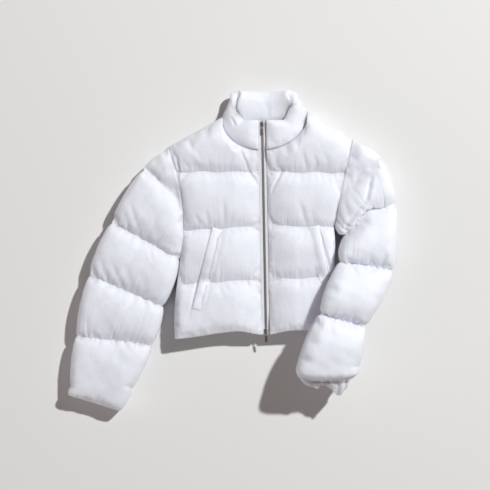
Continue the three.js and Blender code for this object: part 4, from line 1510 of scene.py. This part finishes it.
@dataclass
class Collar:
    """The stand collar: a padded wall that runs round the neck from one side of the zip to the other."""

    finishes: Finishes
    base_spread: float = 18.0
    rim_spread: float = 20.0
    base_half: float = 6.7
    wall_half: float = 10.5
    zip_pinch: float = 0.55
    rim_x: float = 3.5
    rim_left: float = 66.0
    rim_right: float = 56.0
    rim_front_y: float = 316.8
    rim_back_y: float = 389.0
    rise_from: float = 48.0
    rise_to: float = 98.0
    base_roll: float = 22.0
    rim_roll: float = 10.0
    lift_left: float = 0.0
    lift_right: float = 5.0
    lift_from: float = 0.2
    bulge: float = 9.0
    back_fill: float = 9.0
    seed: int = 83
    folds: tuple[Fold, ...] = ()

    def reach(self, x: np.ndarray, y: np.ndarray, front: np.ndarray) -> np.ndarray:
        """Half width that the outer face may have: inside the neck seam below it, past it above.

        Args:
            x, y: Place on the wall's middle.
            front: True on the wall's front half.

        Returns:
            Half width from the neck's middle, in millimetres.
        """
        below = CUT.neck_side_y + CUT.neck_tilt * x - y
        above = CUT.neck_half - 1 + (self.wall_half - self.base_half) * rounding(-below, self.base_roll)
        depth = np.where(front, CUT.neck_front, CUT.neck_back)
        inside = np.clip(1 - np.clip(below / depth, 0, 1) ** (2 / CUT.neck_power), 0, 1)
        return np.where(below <= 0, above, CUT.neck_half * np.sqrt(inside) - 1)

    def wall(self, angle: np.ndarray, v: np.ndarray, outside: float) -> np.ndarray:
        """One face of the wall: from the neck seam at v 0 to the rim at v 1.

        The wall's middle leans from the drooping seam to a level rim, and its thickness grows like a quarter
        circle above the seam and closes like one at the rim.

        Args:
            angle: Angle round the neck from the zip.
            v: Place up the wall.
            outside: 1 for the outer face and -1 for the inner one.

        Returns:
            Points in millimetres.
        """
        front = np.cos(angle) > 0
        left = np.sin(angle) > 0
        sign = np.where(left, -1.0, 1.0)
        across = np.abs(np.sin(angle))
        start = np.where(left, *(abs(math.sin(CUT.zip_angle(side))) for side in Side))
        share = np.where(front, np.clip((across - start) / (1 - start), 0, 1), across)
        normal = np.stack([-np.sin(angle) * self.base_spread, np.cos(angle) * CUT.neck_half], axis=-1)
        normal /= np.linalg.norm(normal, axis=-1, keepdims=True)
        seam = CUT.neck(angle)
        turned = np.degrees(np.where(front, np.arcsin(across), np.pi - np.arcsin(across)))
        rim_y = lerp(self.rim_front_y, self.rim_back_y, ease(self.rise_from, self.rise_to, turned))
        rim_start = np.where(front, CUT.zip_x(rim_y) + sign * CUT.zip_opening, self.rim_x)
        rim_x = lerp(rim_start, self.rim_x + sign * np.where(left, self.rim_left, self.rim_right), share)
        beside_zip = CUT.zip_x(seam[..., 1]) + sign * CUT.zip_opening
        along_seam = seam[..., 0] - normal[..., 0] * self.base_half
        base_x = np.where((share == 0) & front, beside_zip, along_seam)
        base_y = seam[..., 1] + CUT.seam_gap
        tall = np.hypot(rim_x - base_x, rim_y - base_y)
        to_zip = np.where(front, (across - start) * CUT.neck_half, FAR)
        pinch = lerp(self.zip_pinch, 1, rounding(to_zip, 30))
        half = lerp(self.base_half, self.wall_half * pinch, rounding(v * tall, self.base_roll))
        half = half * rounding((1 - v) * tall, self.rim_roll)
        x, y = lerp(base_x, rim_x, v), lerp(base_y, rim_y, v)
        relief = 0.9 * waves(angle * 75, v * tall, self.seed + 8, 55)
        relief += folded(self.folds, x, y) if outside > 0 else 0
        half = np.maximum(half + relief * rounding(v * tall, 10) * rounding((1 - v) * tall, 10), 0)
        lean = np.sign(np.cos(angle)) * np.abs(np.cos(angle)) ** 1.4
        z = CUT.middle + lerp(self.base_spread, self.rim_spread, v) * lean
        lift = np.where(left, self.lift_left, self.lift_right)
        z += lift * ease(self.lift_from, 1, v) * np.sin(angle) ** 2
        closing = rounding(v, 0.6) * rounding((1 - v) * tall, self.rim_roll)
        if outside > 0:
            half += (self.bulge * v * v - 2) * across**6 * closing
        else:
            half += self.back_fill * ease(0, -0.6, np.cos(angle)) * closing
        limit = self.reach(x, y, front) + 2.5 if outside > 0 else np.full(x.shape, FAR)
        limit = np.where(share > 0, limit, FAR)
        moved = np.clip(x + normal[..., 0] * half * outside - CUT.neck_x, -limit, limit) + CUT.neck_x
        return np.stack([moved, y, np.maximum(0, z + normal[..., 1] * half * outside)], axis=-1)

    def build(self) -> bpy.types.Object:
        """Builds the collar: closed profiles round the wall, capped beside the zip, whose cloth settles.

        Returns:
            The new piece.
        """
        left = CUT.neck_angle(Side.LEFT, np.linspace(1, 0, 57))
        back = np.linspace(math.pi / 2, 3 * math.pi / 2, 111)[1:-1]
        right = CUT.neck_angle(Side.RIGHT, np.linspace(0, 1, 57)) + 2 * math.pi
        angles = np.concatenate([left, back, right])
        up = 0.998 * (0.6 * np.linspace(0, 1, 36) + 0.4 * (1 - (1 - np.linspace(0, 1, 36)) ** 2))
        angle, v = np.meshgrid(angles, up, indexing="ij")
        loops = np.concatenate([self.wall(angle, v, 1), self.wall(angle, v, -1)[:, ::-1]], axis=1)
        pinned = np.zeros(loops.shape[:2], bool)
        pinned[[0, -1]] = True
        pinned[:, [0, -1, -2, len(up) - 1, len(up) - 2, len(up)]] = True
        loops += finer(Settling(surplus=0.05, cap=9).moves(loops[::2, ::2], pinned[::2, ::2], True), True)
        loops[..., 2] = np.maximum(loops[..., 2], 0)
        piece = mesh_object("collar_padding", loops.reshape(-1, 3), tube_quads(*loops.shape[:2]))
        finish_piece(piece, self.finishes.shell, ("collar",))
        return piece


@dataclass
class PocketWelt:
    """A slanted strip along a pocket's opening, whose free edge faces the sleeve."""

    side: Side
    top: tuple[float, float]
    foot: tuple[float, float]
    width: float
    finishes: Finishes
    thick: float = 2.2
    along: int = 90
    across: int = 15

    def build(self, cloth: HeightMap) -> bpy.types.Object:
        """Builds the strip on the settled front: its height follows the cloth, its edges are turned in.

        Args:
            cloth: Softened height of the front.

        Returns:
            The new piece.
        """
        u, v = np.meshgrid(np.linspace(0, 1, self.along), np.linspace(-0.5, 0.5, self.across), indexing="ij")
        direction = np.array(self.foot) - np.array(self.top)
        normal = np.array([-direction[1], direction[0]]) / np.linalg.norm(direction)
        plan = np.array(self.top) + direction * u[..., None] + normal * (v * self.width)[..., None]
        length = np.linalg.norm(direction)
        edge = np.minimum((0.5 - np.abs(v)) * self.width, np.minimum(u, 1 - u) * length)
        wave = 0.7 * drift(u * length, 3 + self.side.value, 46)
        wave += 0.6 * waves(plan[..., 0], plan[..., 1], 9, 34)
        bunched = 2.2 * puckers(v * self.width, u * length, 21, 8, 14)
        bunched += 1.5 * puckers(v * self.width, (1 - u) * length, 22, 8, 12)
        ground = cloth.at(plan[..., 0], plan[..., 1])
        sewn = ease(0, 17, (0.5 + v * self.side.value) * self.width)
        top = ground - 1.0 + (1.5 + self.thick + wave + bunched) * rounding(edge, 6) * sewn
        upper = np.concatenate([plan, top[..., None]], axis=-1)
        lower = np.concatenate([plan, (ground - 9.0)[..., None]], axis=-1)
        points = np.concatenate([upper.reshape(-1, 3), lower.reshape(-1, 3)])
        piece = mesh_object(f"welt_{self.side.word}_cloth", points, shell_quads(self.along, self.across))
        finish_piece(piece, self.finishes.welt, (f"pocket_welt_{self.side.word}",))
        return piece


@dataclass
class ZipChain:
    """The zip's metal teeth, clamped in turn to its two tapes."""

    finishes: Finishes
    top: float = 311.0
    bottom: float = -195.5
    pitch: float = 2.54
    reach: float = 2.9
    tall: float = 2.0

    def build(self) -> bpy.types.Object:
        """Builds every tooth from one shape, a block whose tip is rounded and whose foot is wider.

        Returns:
            The new piece.
        """
        count = int((self.top - self.bottom) / self.pitch * 2)
        y = self.top - (np.arange(count) + 0.5) * self.pitch / 2
        side = np.where(np.arange(count) % 2, 1.0, -1.0)
        profile = np.array([[-0.6, 0.35], [0.1, 0.62], [1.0, 0.5], [2.1, 0.72], [self.reach, 0.62]])
        sections = self.tall * np.array([0.35, 0.9, 1.0, 0.95, 0.6])
        half = np.array([[-1, -0.6], [-0.6, -1], [0.6, -1], [1, -0.6]])
        corner = np.concatenate([half, -half])
        x = np.repeat(profile[:, 0], 8)
        along = (profile[:, 1:2] * corner[None, :, 0]).ravel()
        high = (sections[:, None] * 0.5 * corner[None, :, 1]).ravel()
        middle = np.stack([CUT.zip_x(y), y, CUT.zip_z(y)], axis=-1)
        shape = np.broadcast_arrays(side[:, None] * x, along, high)
        points = middle[:, None] + np.stack(shape, axis=-1)
        tooth = tube_quads(5, 8)
        turned = np.where((side > 0)[:, None, None], tooth[None, :, ::-1], tooth[None])
        quads = (turned + (np.arange(count) * 40)[:, None, None]).reshape(-1, 4)
        piece = mesh_object("zip_teeth_metal", points.reshape(-1, 3), quads, False)
        finish_piece(piece, self.finishes.nickel, ("zip_teeth",))
        return piece


@dataclass
class Slider:
    """A zip slider with an arched bridge, and the pull tab that hangs from it."""

    name: str
    y: float
    bridge_y: float
    bridge_rise: float
    droop: float
    finishes: Finishes
    thick: float = 2.2
    length: float = 12.0
    over_zip: float = 1.6

    def placed(self, points: np.ndarray) -> np.ndarray:
        """Carries points from the slider's own axes to its place on the zip.

        Args:
            points: Points in millimetres.

        Returns:
            The points in the jacket's own axes.
        """
        tilt = math.atan2(2 * CUT.zip_drift, CUT.zip_length)
        cos, sin = math.cos(tilt), math.sin(tilt)
        turn = np.array([[cos, sin, 0], [-sin, cos, 0], [0, 0, 1]])
        y = np.array(self.y)
        return points @ turn + [float(CUT.zip_x(y)), self.y, float(CUT.zip_z(y)) + self.over_zip]

    def build(self) -> None:
        """Builds the body, which narrows towards its foot, its bridge, and the pull with its window."""
        up = np.array([0.0, 0.0, 1.0])
        y = np.linspace(-self.length / 2, self.length / 2, 15)
        blunt = rounding(self.length / 2 - np.abs(y), 1.2)
        half = np.interp(y, [-6, 2, 6], [3.3, 4.5, 3.6]) * lerp(0.75, 1, blunt)
        middle = np.stack([0 * y, y, 0 * y + self.thick / 2], axis=-1)
        plate = Sweep(20, 5).parts(middle, half, self.thick / 2 * lerp(0.5, 1, blunt), up)
        turn = np.linspace(0, np.pi, 15)
        arch_y = np.maximum(self.bridge_y - 4.2 * np.cos(turn), 0.9 - self.length / 2)
        arch_z = self.thick / 2 + (self.bridge_rise + 1.7) * np.sin(turn) ** 0.45
        bow = np.stack([0 * turn, arch_y, arch_z], axis=-1)
        arch = Sweep(12, 3).parts(bow, 1.0, 0.6, np.array([1.0, 0, 0]))
        points, quads = joined([plate, arch])
        body = mesh_object(f"slider_{self.name}_metal", self.placed(points), quads)
        finish_piece(body, self.finishes.metal, (f"slider_{self.name}",))
        edge = np.linspace(0, 2 * np.pi, 33)[:-1]
        round_x = np.sign(np.sin(edge)) * np.abs(np.sin(edge)) ** 0.4 * 2.6
        round_y = np.sign(np.cos(edge)) * np.abs(np.cos(edge)) ** 0.4 * 4.3 - 4.3
        loop = Sweep(10, 2.5).parts(np.stack([round_x, round_y, 0 * edge], axis=-1), 0.7, 0.7, up, True)
        y = np.linspace(-8.2, -25.2, 15)
        blunt = lerp(0.6, 1, rounding(np.minimum(y + 25.2, -8.2 - y), 1.6))
        tab = Sweep(20, 5).parts(np.stack([0 * y, y, 0 * y], axis=-1), 3.2 * blunt, 0.75 * blunt, up)
        points, quads = joined([loop, tab])
        droop = math.radians(self.droop)
        cos, sin = math.cos(droop), math.sin(droop)
        lean = np.array([[1, 0, 0], [0, cos, sin], [0, -sin, cos]])
        points = points @ lean + [0, self.bridge_y, self.thick + self.bridge_rise / 2]
        pull = mesh_object(f"pull_{self.name}_metal", self.placed(points), quads)
        finish_piece(pull, self.finishes.metal, (f"pull_{self.name}",), f"pull_{self.name}")


@dataclass
class Stitching:
    """Rows of thread stitches laid in the seams."""

    finishes: Finishes
    pitch: float = 3.4
    thread: float = 0.32
    lift: float = 0.25
    rows: list[tuple[np.ndarray, np.ndarray]] = field(default_factory=list)

    def follow(self, surface: Surface, lines: Iterable[int], margin: float) -> None:
        """Sews along quilt lines of a piece.

        Args:
            surface: The piece's settled cloth.
            lines: Row places of the quilt lines.
            margin: Share of each line that is left bare at both ends.
        """
        share = np.linspace(margin, 1 - margin, 160)
        for line in lines:
            self.add(surface.at(np.full(160, float(line)), share))

    def add(self, line: np.ndarray) -> None:
        """Adds one stitch for each pitch of a line of points.

        Args:
            line: Points along the seam, in millimetres.
        """
        step = np.linalg.norm(np.diff(line, axis=0), axis=1)
        run = np.append(0, np.cumsum(step))
        count = int(run[-1] / self.pitch)
        ends = (np.arange(count)[:, None] + np.array([0.06, 0.22, 0.78, 0.94])) * self.pitch
        places = np.stack([np.interp(ends, run, line[:, axis]) for axis in range(3)], axis=-1)
        places[..., 2] += self.lift + self.thread * np.array([-0.8, 0.3, 0.3, -0.8])
        tangent = places[:, -1:] - places[:, :1]
        tangent /= np.linalg.norm(tangent, axis=-1, keepdims=True)
        across = np.cross(tangent, [0.0, 0.0, 1.0])
        across /= np.maximum(np.linalg.norm(across, axis=-1, keepdims=True), 1e-6)
        rise = np.cross(across, tangent)
        angle = (np.arange(6) + 0.5) * np.pi / 3
        size = (self.thread * np.array([0.6, 1, 1, 0.6]))[None, :, None, None]
        ring = across[:, :, None] * np.cos(angle)[:, None] + rise[:, :, None] * np.sin(angle)[:, None]
        points = (places[:, :, None] + ring * size).reshape(-1, 3)
        quads = tube_quads(4, 6) + (np.arange(count) * 24)[:, None, None]
        self.rows.append((points, quads.reshape(-1, 4)))

    def build(self) -> bpy.types.Object:
        """Joins every stitch into one piece.

        Returns:
            The new piece.
        """
        points, quads = joined(self.rows)
        piece = mesh_object("seam_stitches", points, quads)
        finish_piece(piece, self.finishes.thread)
        return piece


LEFT_ROWS = (
    SleeveRow((-230.4, 252, 38), (-193.2, 50.4, 38), 30),
    SleeveRow((-288, 204, 38), (-198.4, 28.8, 38), 30, False),
    SleeveRow((-364.8, 72, 36), (-204.5, -16.8, 38), 30),
    SleeveRow((-417.6, -55.2, 34), (-244.8, -129.6, 36), 29.5),
    SleeveRow((-448.8, -201.6, 33), (-271.2, -222, 35), 29),
    SleeveRow((-462, -321.6, 32), (-316.8, -326.4, 34), 28, False),
    SleeveRow((-465.6, -345.6, 30), (-348, -381.6, 32), 27),
)
RIGHT_ROWS = (
    SleeveRow((213.6, 271.2, 38), (168, 60, 38), 32),
    SleeveRow((280.8, 228, 39), (176, 51, 40), 34, False),
    SleeveRow((312, 117.6, 44), (194.4, 40.8, 52), 38),
    SleeveRow((305, -42.4, 64), (181.8, -23.5, 84), 44),
    SleeveRow((234.5, -175.4, 96), (132.5, -144.9, 122), 46),
    SleeveRow((219.8, -267.4, 92), (84.7, -267.4, 118), 46, False),
    SleeveRow((212, -298, 91), (86, -298, 115), 45, False),
    SleeveRow((187.6, -324.7, 82), (112.2, -317.7, 98), 18),
)


LEFT_CAP = ((-288, 204), (-196.8, 120))
RIGHT_CAP = ((280.8, 225.6), (187.2, 148.8))
LEFT_FRONT_FOLDS = (
    Fold((-57, 246), (-36, 194), 3.5, 4.5, 1.6),
    Fold((-38, 197), (-8, 150), 3.5, 3.5, 1.6),
    Fold((-206, 226), (-205, 180), 4.5, 5, 1.5),
    Fold((-97, 118), (-96, 72), 5, 3, 1.2),
    Fold((-163, 88), (-150, 66), 5, 2.4, 0.8),
    Fold((-138, 98), (-131, 66), 5.5, 2.2, 0.8),
    Fold((-125, 44), (-172, -130), 3.2, 6, 0),
    Fold((-100, 30), (-140, -130), 4, 2.0, 0),
)
RIGHT_FRONT_FOLDS = (
    Fold((46, 200), (18, 134), 3.5, 3.5, 1.4),
    Fold((86, 298), (80, 245), 7, 2.5),
    Fold((92, 240), (103, 200), 5, 2.0, 0.8),
    Fold((119, 230), (128, 202), 5, 2.2, 0.8),
    Fold((143, 236), (154, 202), 6, 1.8, 0.8),
    Fold((86, 118), (100, 70), 6.5, 3.0, 1.0),
    Fold((112, 98), (120, 72), 6, 2.2, 0.8),
    Fold((131, 44), (162, -60), 3.2, 5, 0),
)
LEFT_SLEEVE_FOLDS = (
    Fold((-274, 198), (-243, 158), 7, 3.1, 1.0),
    Fold((-252, 214), (-222, 146), 9, 2.2, 1.0),
    Fold((-330, 96), (-321, 52), 6, 1.6, 0.7),
    Fold((-316, 112), (-296, 44), 6, 3.1, 1.4),
    Fold((-296, 78), (-278, 30), 8, 2.2, 1.0),
    Fold((-262, 74), (-250, 18), 9, 1.6, 0.8),
    Fold((-278, 18), (-267, -20), 4.5, 2.2, 1.1),
    Fold((-404, -34), (-396, -66), 5, 1.6, 0.7),
    Fold((-390, -14), (-368, -78), 7, 2.2, 1.0),
    Fold((-360, -30), (-336, -88), 6, 3.4, 1.5),
    Fold((-332, -30), (-312, -98), 9, 2.2, 1.1),
    Fold((-292, -50), (-282, -112), 8, 1.2, 0.7),
    Fold((-424, -160), (-414, -200), 7, 1.2, 0.7),
    Fold((-372, -166), (-358, -216), 8, 1.4, 0.7),
    Fold((-344, -226), (-352, -262), 7, 1.2, 0.6),
)
RIGHT_SLEEVE_FOLDS = (
    Fold((256, 170), (245, 120), 3.6, 7, 3.0),
    Fold((246, 122), (214, 84), 4.5, 7, 2.5),
    Fold((216, 86), (196, 54), 5, 5.5, 1.5),
    Fold((196, 118), (207, 80), 6, 2.6, 1.0),
    Fold((182, 96), (193, 60), 6, 2.4, 1.0),
    Fold((236, 202), (214, 146), 8, 3, 1.2),
    Fold((264, 206), (250, 168), 7, 2.5, 1.0),
    Fold((255, -60), (278, -52), 3.5, 4, 1.2),
    Fold((288, -6), (276, -44), 4.5, 5, 1.6),
    Fold((203, -10), (216, -56), 6, 3, 1.4),
    Fold((150, -146), (158, -196), 7, 2.5, 1.2),
    Fold((218, -156), (208, -200), 7, 2.5, 1.2),
    Fold((84, -291), (128, -299), 3.6, 14, 0),
    Fold((132, -298), (176, -295), 3.6, 16, 0),
    Fold((180, -295), (222, -290), 3.6, 13, 0),
    Fold((128, -296), (140, -330), 4.5, 6, 2.0),
    Fold((150, -292), (158, -344), 4, 7, 2.5),
    Fold((176, -292), (171, -346), 4, 7, 2.5),
    Fold((196, -292), (186, -336), 4, 6, 2.0),
)
RIGHT_BENDS = (
    Bend(2, 0.55, 0.26, 24),
    Bend(7, 0.17, 0.16, -17, 0.5),
    Bend(7, 0.62, 0.09, 9, 0.4),
    Bend(7, 0.84, 0.1, -4, 0.4),
)
COLLAR_FOLDS = (
    Fold((-72, 322), (-64, 302), 3.2, 3.5, 2.0),
    Fold((55, 386), (43, 324), 3.0, 4, 2.0),
    Fold((76, 374), (57, 346), 4, 2.5, 1.0),
)


@dataclass
class Studio:
    """The pale floor, the soft lights and the camera above."""

    eye: tuple[float, float, float] = (-0.0456, 0.0168, 4.0)
    view_width: float = 1.176
    floor_color: tuple[float, float, float, float] = (0.80, 0.79, 0.775, 1)

    def build(self) -> None:
        """Places the camera, then the floor, then the lights."""
        lens = bpy.data.cameras.new("camera")
        lens.sensor_width = 36
        lens.lens = 36 * (self.eye[2] - 0.05) / self.view_width
        lens.clip_end = 20
        camera = bpy.data.objects.new("camera", lens)
        camera.location = self.eye
        bpy.context.scene.collection.objects.link(camera)
        bpy.context.scene.camera = camera
        corners = np.array([[-4, -4, -0.01], [4, -4, -0.01], [4, 4, -0.01], [-4, 4, -0.01]]) / MM
        # The sheet is the upper corners; the lower ones tell mesh_object which side faces out.
        points = np.concatenate([corners + [0, 0, 10], corners])
        floor = mesh_object("floor", points, np.array([[0, 1, 2, 3]]))
        paper = bpy.data.materials.new("floor_paper")
        paper.use_nodes = True
        shader = paper.node_tree.nodes["Principled BSDF"]
        shader.inputs["Base Color"].default_value = self.floor_color
        shader.inputs["Roughness"].default_value = 0.9
        shader.inputs["Specular IOR Level"].default_value = 0.1
        floor.data.materials.append(paper)
        self.light("key", Vector((4.0, 3.88, 6.5)), size=0.34, power=716, color=(0.955, 0.985, 0.995))
        self.light("fill", Vector((-3.4, -2.6, 1.35)), size=2.4, power=32, color=(1.0, 0.93, 0.93))
        world = bpy.data.worlds.new("studio")
        bpy.context.scene.world = world
        world.use_nodes = True
        sky = world.node_tree.nodes["Background"]
        sky.inputs["Color"].default_value = (1.0, 0.88, 0.85, 1)
        sky.inputs["Strength"].default_value = 0.168
        view = bpy.context.scene.view_settings
        view.view_transform = "Standard"
        view.look = "None"

    def light(
        self, name: str, place: Vector, size: float, power: float, color: tuple[float, float, float]
    ) -> None:
        """Adds a square area light that looks at the origin.

        Args:
            name: The light's name.
            place: Where it stands, in metres.
            size: Side of the square, in metres.
            power: Power in watts.
            color: Its colour.
        """
        lamp = bpy.data.lights.new(name, "AREA")
        lamp.size, lamp.energy, lamp.color = size, power, color
        holder = bpy.data.objects.new(name, lamp)
        holder.location = place
        holder.rotation_euler = (Vector((0, 0, 0)) - place).to_track_quat("-Z", "Y").to_euler()
        bpy.context.scene.collection.objects.link(holder)


def main() -> None:
    """Builds the studio and then each part of the jacket, in order."""
    logging.basicConfig(level=logging.INFO, format="%(message)s")
    Studio().build()
    finishes = Finishes()
    fronts = {
        Side.LEFT: FrontPanel(Side.LEFT, finishes, seed=11, folds=LEFT_FRONT_FOLDS),
        Side.RIGHT: FrontPanel(Side.RIGHT, finishes, seed=29, folds=RIGHT_FRONT_FOLDS),
    }
    sleeves = (
        Sleeve(Side.LEFT, Lie.RESTING, finishes, LEFT_ROWS, LEFT_CAP, LEFT_SLEEVE_FOLDS, lean=4, seed=5),
        Sleeve(
            Side.RIGHT,
            Lie.FOLDED,
            finishes,
            RIGHT_ROWS,
            RIGHT_CAP,
            RIGHT_SLEEVE_FOLDS,
            RIGHT_BENDS,
            gather=9,
            gather_reach=26,
            cuff=20,
            seed=7,
        ),
    )
    stitching = Stitching(finishes)
    for front in fronts.values():
        front.build()
        stitching.follow(front.surface, (1, 2, 3), 0.03)
    for sleeve in sleeves:
        sleeve.build()
        stitching.follow(sleeve.surface, sleeve.rings(), 0.02)
    BackPanel(finishes).build()
    Collar(finishes, folds=COLLAR_FOLDS).build()
    cloth = HeightMap([front.surface for front in fronts.values()], 9)
    PocketWelt(Side.LEFT, (-112, 56), (-160, -139), 27, finishes).build(cloth)
    PocketWelt(Side.RIGHT, (119, 62), (151, -98), 25, finishes).build(cloth)
    ZipChain(finishes).build()
    Slider("top", 306, 0, 3, 0, finishes).build()
    Slider("bottom", -190, -2.5, 4, 14, finishes).build()
    stitching.build()
    for side in Side:
        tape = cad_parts[f"zip_tape_{side.word}"]
        tape.data.materials.clear()
        tape.data.materials.append(finishes.tape)


if __name__ == "__main__":
    main()
